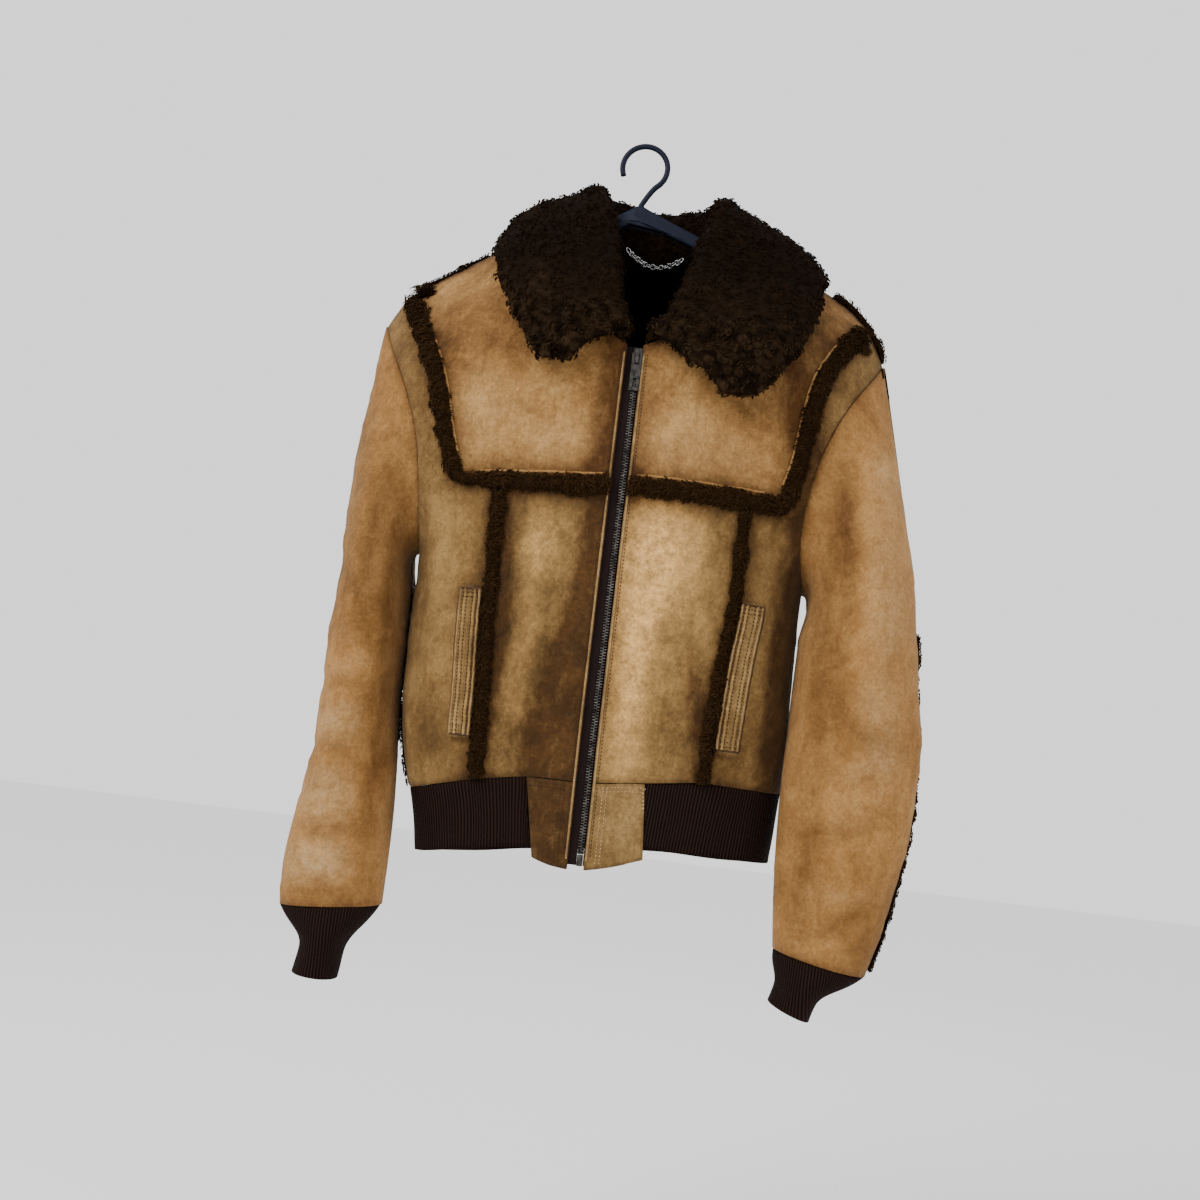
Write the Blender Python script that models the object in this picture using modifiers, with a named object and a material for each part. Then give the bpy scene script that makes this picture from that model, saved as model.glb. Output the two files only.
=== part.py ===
"""A shearling leather jacket hanging closed on a plastic hanger.

The jacket's front faces -Y, +X is the wearer's left and +Z is up. The origin is the inside top of the
hanger's hook, where the rod carries it. Tables are in millimetres, and MM turns them into metres.
"""

import math
from collections import namedtuple

import bmesh
import bpy
from mathutils import Vector

MM = 0.001

# Driving dimensions, in millimetres
HIDE = 5.0  # tanned skin with its clipped wool
RIB = 4.0  # thickness of the rib-knit waistband and cuffs
COLLAR_PILE = 9.0  # thickness of the collar with its long wool
SEAM = 0.5  # free space between two pieces at a seam
ARMHOLE_GAP = 1.2  # free space between a sleeve's edge and the rim of its armhole
BAND_GAP = 1.2  # free space over the waistband, whose columns differ from the panels'
LIFT = 0.7  # free space under what lies on a panel
ZIP_X = 18.0  # the zip runs straight down at this place
TAPE_SHOWN = 17.0  # width of tape between the two front edges
TEETH_X = ZIP_X + 3.4  # the closed teeth lie off the middle of the shown tape
UNDERARM_Z = -458.0
SHOULDER_ROUNDING = 170.0  # height over which the shoulders reach the full depth
NECK_HALF_WIDTH = 79.0
NECK_FRONT_Z = -238.0
NECK_BACK_Z = -119.0
PULL_AXIS_Z = -246.5

# Torso sections: the widest points on each side, and how far front and back stand from the side seams
Section = namedtuple("Section", "z right left front back")
SECTIONS = (
    Section(-800, -150, 204, 82, 84),
    Section(-760, -154, 206, 85, 87),
    Section(-700, -166, 210, 90, 92),
    Section(-672, -176, 212, 95, 96),
    Section(-630, -183, 213, 100, 100),
    Section(-560, -186, 212, 101, 102),
    Section(-458, -187, 212, 102, 102),
    Section(-430, -196, 219, 102, 101),
    Section(-370, -222, 246, 101, 100),
    Section(-300, -246, 271, 100, 98),
    Section(-216, -268, 292, 99, 96),
    Section(-150, -280, 302, 98, 95),
    Section(-40, -288, 308, 98, 95),
)

# The shoulder seams, from one sleeve over the neck to the other
Ridge = namedtuple("Ridge", "x z")
RIDGE = (
    Ridge(-262, -240),
    Ridge(-250, -213),
    Ridge(-237, -190),
    Ridge(-219, -174),
    Ridge(-192, -158),
    Ridge(-147, -127),
    Ridge(-61, -82),
    Ridge(18, -46),
    Ridge(97, -84),
    Ridge(150, -110),
    Ridge(203, -136),
    Ridge(228, -150),
    Ridge(248, -168),
    Ridge(262, -190),
    Ridge(272, -214),
    Ridge(280, -240),
)

# The armholes, as shares of the half width of the torso at each height
Armhole = namedtuple("Armhole", "z right_front left_front right_back left_back")
ARMHOLES = (
    Armhole(-458, 1.0, 1.0, 1.0, 1.0),
    Armhole(-450, 0.988, 0.984, 0.99, 0.99),
    Armhole(-430, 0.95, 0.93, 0.955, 0.955),
    Armhole(-397, 0.893, 0.85, 0.91, 0.905),
    Armhole(-348, 0.846, 0.80, 0.875, 0.865),
    Armhole(-312, 0.854, 0.80, 0.875, 0.865),
    Armhole(-268, 0.896, 0.835, 0.905, 0.885),
    Armhole(-238, 0.935, 0.885, 0.94, 0.915),
    Armhole(-205, 0.955, 0.925, 0.955, 0.925),
)

# The yoke's outer edges, the princess seams below the yoke, and the tabs' outer edges
YokeEdge = namedtuple("YokeEdge", "z right left")
YOKE_EDGES = (
    YokeEdge(-700, -150, 184),
    YokeEdge(-420, -150, 184),
    YokeEdge(-384, -150, 184),
    YokeEdge(-352, -160, 191),
    YokeEdge(-316, -170, 196),
    YokeEdge(-272, -184, 202),
    YokeEdge(-240, -202, 210),
    YokeEdge(-212, -217, 225),
    YokeEdge(-172, -235, 249),
    YokeEdge(-120, -240, 256),
)
Princess = namedtuple("Princess", "z right left")
PRINCESS = (
    Princess(-700, -88, 131),
    Princess(-640, -91, 132),
    Princess(-590, -92, 134),
    Princess(-540, -95, 137),
    Princess(-480, -97, 143),
    Princess(-384, -100, 144),
)
TabEdge = namedtuple("TabEdge", "z right left")
TAB_EDGES = (TabEdge(-760, -24, 84), TabEdge(-660, -41, 76))

# Heights of the waist seam, the yoke seam and the lower edges, across the front
Height = namedtuple("Height", "x z")
WAIST_SEAM = (
    Height(-190, -700),
    Height(-158, -697),
    Height(-88, -680),
    Height(-38, -671),
    Height(18, -671),
    Height(76, -665),
    Height(130, -658),
    Height(212, -662),
)
YOKE_SEAM = (Height(-190, -386), Height(-100, -387), Height(5, -381), Height(40, -378), Height(200, -381))
FRONT_HEM = (Height(-190, -762), Height(-154, -759), Height(-40, -739), Height(80, -727), Height(208, -731))
TAB_HEM = (Height(-45, -742), Height(-10, -754), Height(18, -757), Height(50, -750), Height(90, -736))
BACK_DROP = 13.0  # the back of the waistband hangs this much lower

# Soft folds of the hanging front and back, as troughs pressed into the panels
Fold = namedtuple("Fold", "face x z long wide deep lean")
FOLDS = (
    Fold("front", 78, -560, 85, 13, 3.5, 0.10),
    Fold("front", 106, -615, 55, 10, 3.0, -0.15),
    Fold("front", -48, -600, 75, 12, 2.5, -0.05),
    Fold("front", -136, -560, 95, 11, 3.0, 0.05),
    Fold("front", 176, -560, 95, 12, 4.0, 0.04),
    Fold("front", -120, -300, 60, 16, 2.0, 0.40),
    Fold("front", 150, -300, 60, 16, 2.5, -0.35),
    Fold("back", -70, -560, 110, 15, 4.0, 0.12),
    Fold("back", 95, -575, 100, 14, 4.0, -0.10),
    Fold("back", 10, -430, 120, 18, 2.5, 0.02),
    Fold("back", -125, -330, 80, 16, 3.0, 0.35),
    Fold("back", 150, -330, 80, 16, 3.0, -0.30),
)

# Sleeve rings below the underarm: middle, half width, half depth, and how much the outer side is raised
Ring = namedtuple("Ring", "z x y wide deep tip")
SLEEVE_RINGS = {
    -1: (
        Ring(-474, -227, -4, 37, 82, 0.70),
        Ring(-540, -227, -8, 38, 76, 0.25),
        Ring(-600, -227, -12, 39.5, 71, 0.05),
        Ring(-660, -226, -18, 43, 63, -0.03),
        Ring(-720, -226, -25, 49, 54, -0.08),
        Ring(-780, -228, -30, 53, 44, -0.10),
        Ring(-823, -227, -33, 52, 38, -0.10),
    ),
    1: (
        Ring(-474, 268, -28, 56, 72, 0.55),
        Ring(-540, 272, -35, 61.5, 65, 0.20),
        Ring(-600, 276, -42, 67, 58, 0.02),
        Ring(-660, 275, -49, 67, 51, -0.05),
        Ring(-720, 271, -54, 62, 46, -0.10),
        Ring(-775, 266.5, -58, 54.5, 43, -0.15),
        Ring(-817, 262, -60, 46, 42, -0.18),
    ),
}
CUFF_RINGS = {
    -1: (
        Ring(-824, -227, -33, 51.5, 38, -0.10),
        Ring(-838, -227, -33, 43, 38.5, -0.08),
        Ring(-853, -227.5, -34, 28, 38, -0.04),
        Ring(-864, -229, -35, 22, 36, 0.0),
        Ring(-878, -231, -36, 22.5, 35, 0.04),
        Ring(-893, -233, -37, 23, 35, 0.06),
    ),
    1: (
        Ring(-818, 262, -60, 45.5, 42, -0.18),
        Ring(-827, 257, -60, 40, 41, -0.20),
        Ring(-836, 250, -61, 30, 39, -0.24),
        Ring(-844, 245, -62, 23, 37, -0.28),
        Ring(-854, 241, -63, 21.5, 35, -0.32),
        Ring(-866, 237, -64, 22, 35, -0.34),
    ),
}
# Where the two sleeve seams lie, in degrees from the outer side towards the front
SLEEVE_BACK_SEAM = {-1: (-30.0, -22.0), 1: (-30.0, -4.0)}
SLEEVE_INNER_SEAM = 190.0
SLEEVE_HEAD_LEAN = {-1: 0.05, 1: 0.25}  # how far the sleeve heads lean inwards, as a slope
Crease = namedtuple("Crease", "side angle z wide long deep")
CREASES = (
    Crease(-1, 150, -600, 32, 16, 3.5),
    Crease(-1, 120, -655, 36, 14, 3.0),
    Crease(-1, 60, -745, 30, 14, 2.5),
    Crease(-1, 250, -610, 34, 16, 3.5),
    Crease(1, 130, -585, 36, 16, 4.0),
    Crease(1, 100, -640, 34, 15, 3.0),
    Crease(1, 40, -735, 34, 15, 3.5),
    Crease(1, 260, -600, 34, 16, 3.5),
)

# The collar, from the wearer's right front end round the back of the neck to the left one:
# its fold line and the lower edge of its fall
CollarRow = namedtuple("CollarRow", "fold_x fold_y fold_z edge_x edge_y edge_z")
COLLAR = (
    CollarRow(7, -110, -225, -40, -126, -262),
    CollarRow(-4, -102, -192, -68, -123, -266),
    CollarRow(-13, -86, -156, -90, -112, -246),
    CollarRow(-21, -62, -118, -106, -94, -216),
    CollarRow(-33, -36, -80, -126, -62, -180),
    CollarRow(-50, -6, -47, -142, -2, -126),
    CollarRow(-52, 30, -40, -126, 52, -132),
    CollarRow(-30, 62, -42, -78, 98, -142),
    CollarRow(18, 74, -45, 18, 114, -148),
    CollarRow(66, 62, -44, 116, 98, -144),
    CollarRow(90, 30, -42, 168, 52, -136),
    CollarRow(92, -8, -50, 200, -2, -129),
    CollarRow(80, -40, -98, 190, -62, -196),
    CollarRow(69, -66, -140, 178, -92, -230),
    CollarRow(60, -88, -176, 164, -112, -258),
    CollarRow(49, -101, -202, 146, -121, -280),
    CollarRow(35, -110, -226, 108, -126, -284),
)
COLLAR_FOLD_RADIUS = 13.0
COLLAR_END_RADIUS = 5.0
COLLAR_SWELL = 11.0  # how far the fall stands out over the straight way to its edge
COLLAR_CLEARANCE = COLLAR_PILE / 2 + 6.0
COLLAR_FOOT = 6.0  # height of the stand's foot over the edge of the neckline

Welt = namedtuple("Welt", "side top_z bottom_z seam_distance")
WELTS = (Welt(-1, -492, -642, 8.0), Welt(1, -478, -630, 6.5))
WELT_WIDTH = 22.0
WELT_THICKNESS = 3.0

# Exposed wool along the seams: half width and height of each strip
FUR_HEIGHT = 7.0
YOKE_FUR = 8.0
YOKE_FUR_STOP = {-1: 2.5, 1: 13.0}  # how far under the shoulder seam it stops
PRINCESS_FUR = {-1: 6.5, 1: 4.5}
SHOULDER_FUR = 7.0
SHOULDER_FUR_ENDS = {-1: (-154.0, -220.0), 1: (212.0, 267.0)}  # it shows from the collar's edge outwards
SHOULDER_FUR_HEIGHT = {-1: 3.0, 1: 6.0}
SIDE_FUR = 5.0
SIDE_FUR_TOP = {-1: -490.0, 1: -580.0}
SLEEVE_FUR = 4.5

# The hanger: a moulded bow under the shoulders and a hook
HANGER_TOP_Z = -66.0
HANGER_ARM = 11.0
HANGER_THICKNESS = 9.0
HANGER_SLOPE = {-1: 0.505, 1: 0.405}
HANGER_REACH = {-1: 158.0, 1: 194.0}
HOOK_WIRE = 3.2
HOOK_INSIDE = 21.0

SIDE_NAME = {-1: "right", 1: "left"}
COLOURS = {
    "suede": ((0.44, 0.27, 0.13, 1), 0.9, 0.0),
    "wool": ((0.035, 0.022, 0.014, 1), 0.95, 0.0),
    "rib_knit": ((0.03, 0.016, 0.014, 1), 0.9, 0.0),
    "zip_tape": ((0.03, 0.02, 0.02, 1), 0.85, 0.0),
    "gunmetal": ((0.16, 0.15, 0.14, 1), 0.35, 1.0),
    "chain_steel": ((0.62, 0.62, 0.62, 1), 0.25, 1.0),
    "hanger_plastic": ((0.012, 0.018, 0.05, 1), 0.4, 0.0),
}


# ---------------------------------------------------------------- numbers and curves


def mix(a, b, share):
    return a + (b - a) * share


def smooth_step(a, b, c, d, t):
    """The value a share t of the way from b to c, on a smooth curve through all four."""
    return 0.5 * (2 * b + (c - a) * t + (2 * a - 5 * b + 4 * c - d) * t**2 + (3 * b - a - 3 * c + d) * t**3)


def row_at(table, value):
    """The row of a table at a value of its first column, smoothly between its rows."""
    keys = [row[0] for row in table]
    rising = keys[-1] > keys[0]
    last = len(table) - 1
    k = 0
    while k < last - 1 and (value > keys[k + 1]) == rising and value != keys[k + 1]:
        k += 1
    share = min(max((value - keys[k]) / (keys[k + 1] - keys[k]), 0.0), 1.0)
    span = keys[k + 1] - keys[k]
    found = [value]
    for column in range(1, len(table[0])):
        here, there = table[k][column], table[k + 1][column]
        before = (there - here) / span
        slope_a = before if k == 0 else (there - table[k - 1][column]) / (keys[k + 1] - keys[k - 1])
        slope_b = before if k + 1 == last else (table[k + 2][column] - here) / (keys[k + 2] - keys[k])
        s2, s3 = share * share, share * share * share
        found.append(
            (2 * s3 - 3 * s2 + 1) * here
            + (s3 - 2 * s2 + share) * span * slope_a
            + (3 * s2 - 2 * s3) * there
            + (s3 - s2) * span * slope_b
        )
    return type(table[0])(*found)


def line_at(table, x):
    """The height of a table of x and z, straight between its rows."""
    for here, there in zip(table, table[1:]):
        if x <= there.x:
            return mix(here.z, there.z, max((x - here.x) / (there.x - here.x), 0.0))
    return table[-1].z


def soft(distance):
    """A rounded bump of height 1 at distance 0."""
    return math.exp(-distance * distance)


# ---------------------------------------------------------------- the torso's outer surface
# A point on the torso has a place round it, 0 at the front middle, 1 at the left side seam, -1 at the right
# one and 2 at the back middle, and a height.


def ridge_z(x):
    return line_at(RIDGE, x)


def around_at(x, z, back=False):
    """The place round the torso of the point with this x."""
    section = row_at(SECTIONS, z)
    middle = (section.right + section.left) / 2
    half = (section.left - section.right) / 2
    share = max(-1.0, min(1.0, (x - middle) / half))
    place = math.copysign(math.asin(abs(share) ** 1.25) * 2 / math.pi, share)
    return math.copysign(2.0, place) - place if back else place


def body(around, z):
    section = row_at(SECTIONS, z)
    if around > 2:
        around -= 4
    if around < -2:
        around += 4
    back = abs(around) > 1
    turn = (math.copysign(2.0, around) - around if back else around) * math.pi / 2
    middle = (section.right + section.left) / 2
    half = (section.left - section.right) / 2
    x = middle + half * math.copysign(abs(math.sin(turn)) ** 0.8, turn)
    depth = (section.back if back else section.front) * max(math.cos(turn), 0.0) ** 0.8
    below = min(max((ridge_z(x) - z) / SHOULDER_ROUNDING, 0.0), 1.0)
    depth *= math.sin(below * math.pi / 2) ** 0.8
    for fold in FOLDS:
        if (fold.face == "back") == back:
            sideways = (x - fold.x - fold.lean * (z - fold.z)) / fold.wide
            depth -= fold.deep * soft(sideways) * soft((z - fold.z) / fold.long) * min(depth / 60, 1)
    return Vector((x, depth if back else -depth, z))


def outward(surface, p, q, step_p, step_q):
    """The unit normal of a surface whose second place may only be stepped one way."""
    along_p = surface(p + step_p, q) - surface(p - step_p, q)
    along_q = surface(p, q) - surface(p, q - step_q)
    return along_p.cross(along_q).normalized()


def body_normal(around, z):
    return outward(body, around, z, 0.004, 1.0)


def body_wall(around, z, depth):
    """A point this deep under the torso's surface; front and back stay apart where they meet."""
    point = body(around, z) - body_normal(around, z) * depth
    if abs(around) > 1:
        point.y = max(point.y, SEAM / 2)
    else:
        point.y = min(point.y, -SEAM / 2)
    return point


def armhole_around(side, z, back=False):
    row = row_at(ARMHOLES, min(z, ARMHOLES[-1].z))
    share = getattr(row, SIDE_NAME[side] + ("_back" if back else "_front"))
    place = math.asin(min(share, 1.0) ** 1.25) * 2 / math.pi
    return side * (2 - place) if back else side * place


def shoulder_end(side):
    """The height at which the armhole meets the shoulder seam."""
    return crossing(lambda z: body(armhole_around(side, z), z).x, lambda x: ridge_z(x) - 0.2)


def outer_edge(side, z, back=False):
    """The side seam below the underarm, and the armhole above it."""
    seam = side * (1.0015 if back else 0.9985)
    if z <= UNDERARM_Z:
        return seam
    place = armhole_around(side, z, back)
    return side * max(abs(place), abs(seam)) if back else side * min(abs(place), abs(seam))


def side_column(table, side, z):
    return getattr(row_at(table, z), SIDE_NAME[side])


def front_top(x):
    """The upper edge of the front: the neckline, then the shoulder seam."""
    share = abs(x - ZIP_X) / NECK_HALF_WIDTH
    if share >= 1:
        return ridge_z(x) - 0.2
    corner = ridge_z(ZIP_X + math.copysign(NECK_HALF_WIDTH, x - ZIP_X))
    return mix(NECK_FRONT_Z, corner, 1 - math.sqrt(1 - share * share))


def back_top(x):
    share = abs(x - ZIP_X) / NECK_HALF_WIDTH
    if share >= 1:
        return ridge_z(x) - 0.2
    corner = ridge_z(ZIP_X + math.copysign(NECK_HALF_WIDTH, x - ZIP_X))
    return mix(NECK_BACK_Z, corner, share**3)


def crossing(column, top):
    """The height at which a column's line meets the upper edge."""
    low, high = UNDERARM_Z, -40.0
    for _ in range(40):
        middle = (low + high) / 2
        if middle < top(column(middle)):
            low = middle
        else:
            high = middle
    return low


# ---------------------------------------------------------------- making objects


def reset():
    for thing in list(bpy.data.objects):
        bpy.data.objects.remove(thing, do_unlink=True)
    for old in list(bpy.data.collections):
        bpy.data.collections.remove(old)


def collection(name):
    made = bpy.data.collections.new(name)
    bpy.context.scene.collection.children.link(made)
    return made


def material(name):
    found = bpy.data.materials.get(name)
    if found:
        return found
    colour, roughness, metallic = COLOURS[name]
    made = bpy.data.materials.new(name)
    made.use_nodes = True
    shader = made.node_tree.nodes["Principled BSDF"]
    shader.inputs["Base Color"].default_value = colour
    shader.inputs["Roughness"].default_value = roughness
    shader.inputs["Metallic"].default_value = metallic
    return made


def finish_mesh(bm, name, slot, home, crisp_degrees=50.0):
    bmesh.ops.recalc_face_normals(bm, faces=bm.faces)
    mesh = bpy.data.meshes.new(name)
    bm.to_mesh(mesh)
    bm.free()
    mesh.shade_smooth()
    mesh.set_sharp_from_angle(angle=math.radians(crisp_degrees))
    made = bpy.data.objects.new(name, mesh)
    made.data.materials.append(material(slot))
    home.objects.link(made)
    return made


def slab(name, columns, rows, place, slot, home, leave_out=None, closed=False):
    """A thin closed wall: a grid of cells, extruded once, then bent to shape.

    place(i, j, layer) gives the point of a grid corner on layer 0, the outer face, or on layer 1. A closed
    slab joins its first and last columns, as a tube does.
    """
    bm = bmesh.new()
    bmesh.ops.create_grid(bm, x_segments=columns, y_segments=rows, size=1.0)
    for vert in bm.verts:
        vert.co = ((vert.co.x + 1) / 2 * columns, (vert.co.y + 1) / 2 * rows, 0)
    if leave_out:
        unwanted = [f for f in bm.faces if leave_out(*f.calc_center_median()[:2])]
        bmesh.ops.delete(bm, geom=unwanted, context="FACES")
    moved = bmesh.ops.extrude_face_region(bm, geom=bm.faces[:])["geom"]
    for vert in moved:
        if isinstance(vert, bmesh.types.BMVert):
            vert.co.z = 1
    if closed:
        ends = [f for f in bm.faces if all(v.co.x < 0.5 for v in f.verts)]
        ends += [f for f in bm.faces if all(v.co.x > columns - 0.5 for v in f.verts)]
        bmesh.ops.delete(bm, geom=ends, context="FACES")
    for vert in bm.verts:
        i, j, layer = (round(value) for value in vert.co)
        vert.co = place(i, j, layer) * MM
    if closed:
        bmesh.ops.remove_doubles(bm, verts=bm.verts, dist=0.00001)
    return finish_mesh(bm, name, slot, home)


def strip(name, surface, normal, route, half_width, height, slot, home, crown=(0.45, 1.0, 0.45)):
    """A raised band laid along a route on a surface, from the surface's own points moved out.

    half_width and height are functions of the share of the way along. crown gives the height at each
    line across the band.
    """
    last = len(route) - 1
    across = len(crown) - 1

    def place(i, j, layer):
        p, q = route[j]
        here = surface(p, q)
        ahead = surface(*route[min(j + 1, last)]) - surface(*route[max(j - 1, 0)])
        along_p = (surface(p + 0.002, q) - here) / 0.002
        along_q = (here - surface(p, q - 0.5)) / 0.5
        sideways = ahead.cross(normal(p, q)).normalized()
        sideways *= (2 * i / across - 1) * half_width(j / last)
        pp, pq, qq = along_p.dot(along_p), along_p.dot(along_q), along_q.dot(along_q)
        sp, sq = sideways.dot(along_p), sideways.dot(along_q)
        share = pp * qq - pq * pq
        p += (sp * qq - sq * pq) / share
        q += (sq * pp - sp * pq) / share
        rise = LIFT if layer else LIFT + height(j / last) * crown[i]
        return surface(p, q) + normal(p, q) * rise

    return slab(name, across, last, place, slot, home)


def route_along(points, count):
    """Evenly spaced stops on a smooth line through the points."""
    fine = []
    for k in range(len(points) - 1):
        p0 = points[max(k - 1, 0)]
        p1, p2 = points[k], points[k + 1]
        p3 = points[min(k + 2, len(points) - 1)]
        for step in range(12):
            t = step / 12
            fine.append(
                [
                    smooth_step(a, b, c, d, t)
                    for a, b, c, d in zip(p0, p1, p2, p3)
                ]
            )
    fine.append(list(points[-1]))
    lengths = [0.0]
    for here, there in zip(fine, fine[1:]):
        lengths.append(lengths[-1] + math.dist(here, there))
    stops = []
    k = 0
    for n in range(count + 1):
        goal = lengths[-1] * n / count
        while k < len(fine) - 2 and lengths[k + 1] < goal:
            k += 1
        share = (goal - lengths[k]) / max(lengths[k + 1] - lengths[k], 1e-9)
        stops.append([mix(a, b, share) for a, b in zip(fine[k], fine[k + 1])])
    return stops


# ---------------------------------------------------------------- fronts and back

ROWS_TO_UNDERARM = 9
ROWS_TO_YOKE = 3
ROWS_TO_TOP = 7
ARMHOLE_ROWS = ROWS_TO_YOKE + ROWS_TO_TOP
YOKE_COLUMNS = (0.0, 0.09, 0.18, 0.255, 0.31, 0.36, 0.48, 0.62, 0.76, 0.89, 1.0)


def lower_row(x, j):
    """The height of a row between the waist seam and the yoke seam."""
    low = line_at(WAIST_SEAM, x) + SEAM / 2
    if j <= ROWS_TO_UNDERARM:
        return mix(low, UNDERARM_Z, j / ROWS_TO_UNDERARM)
    share = armhole_share(j - ROWS_TO_UNDERARM) / armhole_share(ROWS_TO_YOKE)
    return mix(UNDERARM_Z, line_at(YOKE_SEAM, x) - SEAM / 2, share)


def back_waist(x):
    """The waist seam on the back, straight from side seam to side seam."""
    first, last = WAIST_SEAM[1], WAIST_SEAM[-1]
    return mix(first.z, last.z, (x - first.x) / (last.x - first.x))


def armhole_share(row):
    """How high a row above the underarm lies in the armhole; the sleeves' seams have the same steps."""
    return (1 - math.cos(math.pi * row / ARMHOLE_ROWS)) / 2


def over_yoke_share(row):
    """How high a row lies between the yoke's lower seam and its top."""
    low = armhole_share(ROWS_TO_YOKE)
    return (armhole_share(ROWS_TO_YOKE + row) - low) / (1 - low)


def settle(column, row, start=-500.0):
    """The height of a row on a column whose x depends on the height."""
    z = start
    for _ in range(12):
        z = row(column(z))
    return z


def make_yoke(side, home):
    last = len(YOKE_COLUMNS) - 1

    def place(i, j, layer):
        def column(z):
            edge = side_column(YOKE_EDGES, side, z) - side * SEAM / 2
            return mix(ZIP_X + side * TAPE_SHOWN / 2, edge, YOKE_COLUMNS[i])

        low = settle(column, lambda x: line_at(YOKE_SEAM, x) + SEAM / 2, -380)
        z = mix(low, crossing(column, front_top), over_yoke_share(j))
        return body_wall(around_at(column(z), z), z, HIDE * layer)

    return slab(f"front_yoke_{SIDE_NAME[side]}", last, ROWS_TO_TOP, place, "suede", home)


def make_side_front(side, home):
    """The panel between princess and side seams, with its strap up to the shoulder beside the yoke."""
    inner, outer = 2, 4
    lower_rows = ROWS_TO_UNDERARM + ROWS_TO_YOKE

    def column_at(i):
        def column(z):
            princess = side_column(PRINCESS, side, z) + side * SEAM / 2
            edge = side_column(YOKE_EDGES, side, z) + side * SEAM / 2
            if i <= inner:
                return around_at(mix(princess, edge, i / inner), z)
            return mix(around_at(edge, z), outer_edge(side, z), (i - inner) / outer)

        return column

    def place(i, j, layer):
        column = column_at(i)

        def x_of(z):
            return body(column(z), z).x

        if j <= ROWS_TO_UNDERARM:
            z = settle(x_of, lambda x: lower_row(x, j))
            return body_wall(column(z), z, HIDE * layer)
        top = crossing(x_of, front_top)
        yoke_share = armhole_share(ROWS_TO_YOKE)
        seam = settle(x_of, lambda x: line_at(YOKE_SEAM, x) - SEAM / 2, -380)
        seam = mix(seam, mix(UNDERARM_Z, top, yoke_share), max(i - inner, 0) / outer)
        if j <= lower_rows:
            z = mix(UNDERARM_Z, seam, armhole_share(j - ROWS_TO_UNDERARM) / yoke_share)
        else:
            z = mix(seam, top, over_yoke_share(j - lower_rows))
        return body_wall(column(z), z, HIDE * layer)

    def under_yoke(i, j):
        return i < inner and j > lower_rows

    name = f"side_front_{SIDE_NAME[side]}"
    return slab(name, inner + outer, lower_rows + ROWS_TO_TOP, place, "suede", home, under_yoke)


def make_centre_front(side, home):
    columns = 5

    def place(i, j, layer):
        def column(z):
            princess = side_column(PRINCESS, side, z) - side * SEAM / 2
            return mix(ZIP_X + side * TAPE_SHOWN / 2, princess, i / columns)

        z = settle(column, lambda x: lower_row(x, j))
        return body_wall(around_at(column(z), z), z, HIDE * layer)

    name = f"centre_front_{SIDE_NAME[side]}"
    return slab(name, columns, ROWS_TO_UNDERARM + ROWS_TO_YOKE, place, "suede", home)


def make_tab(side, home):
    """The leather end of the waistband beside the zip, a little longer than the knitted part."""
    columns, rows = 4, 4

    def place(i, j, layer):
        def column(z):
            edge = side_column(TAB_EDGES, side, z) - side * SEAM / 2
            return mix(ZIP_X + side * TAPE_SHOWN / 2, edge, i / columns)

        def row(x):
            return mix(line_at(TAB_HEM, x), line_at(WAIST_SEAM, x) - BAND_GAP, j / rows)

        z = settle(column, row, -700)
        return body_wall(around_at(column(z), z), z, HIDE * layer)

    return slab(f"waist_tab_{SIDE_NAME[side]}", columns, rows, place, "suede", home)


def make_back(home):
    columns = 18

    def place(i, j, layer):
        def column(z):
            left, right = outer_edge(1, z, True), 4 + outer_edge(-1, z, True)
            return mix(left, right, i / columns)

        def x_of(z):
            return body(column(z), z).x

        if j <= ROWS_TO_UNDERARM:
            z = settle(x_of, lambda x: mix(back_waist(x) + SEAM / 2, UNDERARM_Z, j / ROWS_TO_UNDERARM))
        else:
            z = mix(UNDERARM_Z, crossing(x_of, back_top), armhole_share(j - ROWS_TO_UNDERARM))
        return body_wall(column(z), z, HIDE * layer)

    return slab("back", columns, ROWS_TO_UNDERARM + ARMHOLE_ROWS, place, "suede", home)


def make_waistband(home):
    columns, rows = 38, 3

    def place(i, j, layer):
        start = around_at(side_column(TAB_EDGES, 1, -700) + SEAM / 2, -700)
        end = 4 + around_at(side_column(TAB_EDGES, -1, -700) - SEAM / 2, -700)
        around = mix(start, end, i / columns)
        x = body(around, -700).x
        behind = max(0.0, -math.cos(around * math.pi / 2))
        low = line_at(FRONT_HEM, x) - BACK_DROP * behind
        seam = back_waist(x) if abs(around) > 1 and around < 3 else line_at(WAIST_SEAM, x)
        z = mix(low, seam - BAND_GAP, j / rows)
        if i in (0, columns):
            tab = side_column(TAB_EDGES, 1 if i == 0 else -1, z) + (SEAM / 2 if i == 0 else -SEAM / 2)
            around = around_at(tab, z) + (0 if i == 0 else 4)
        around = around - 4 if around > 2 else around
        return body(around, z) - body_normal(around, z) * (RIB * layer + 0.5)

    return slab("rib_waistband", columns, rows, place, "rib_knit", home)


# ---------------------------------------------------------------- sleeves and cuffs
# A point on a sleeve has an angle, 0 on the outer side, 90 at the front and 180 beside the body, and a
# place along it, 0 at the armhole, 1 below the underarm and 2 at the cuff.


def ring_point(ring, side, degrees, z=None):
    angle = math.radians(degrees)
    out = ring.wide * math.cos(angle)
    height = ring.z if z is None else z
    return Vector((ring.x + side * out, ring.y - ring.deep * math.sin(angle), height + ring.tip * out))


SHOULDER_ENDS = {side: shoulder_end(side) for side in (-1, 1)}


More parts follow.
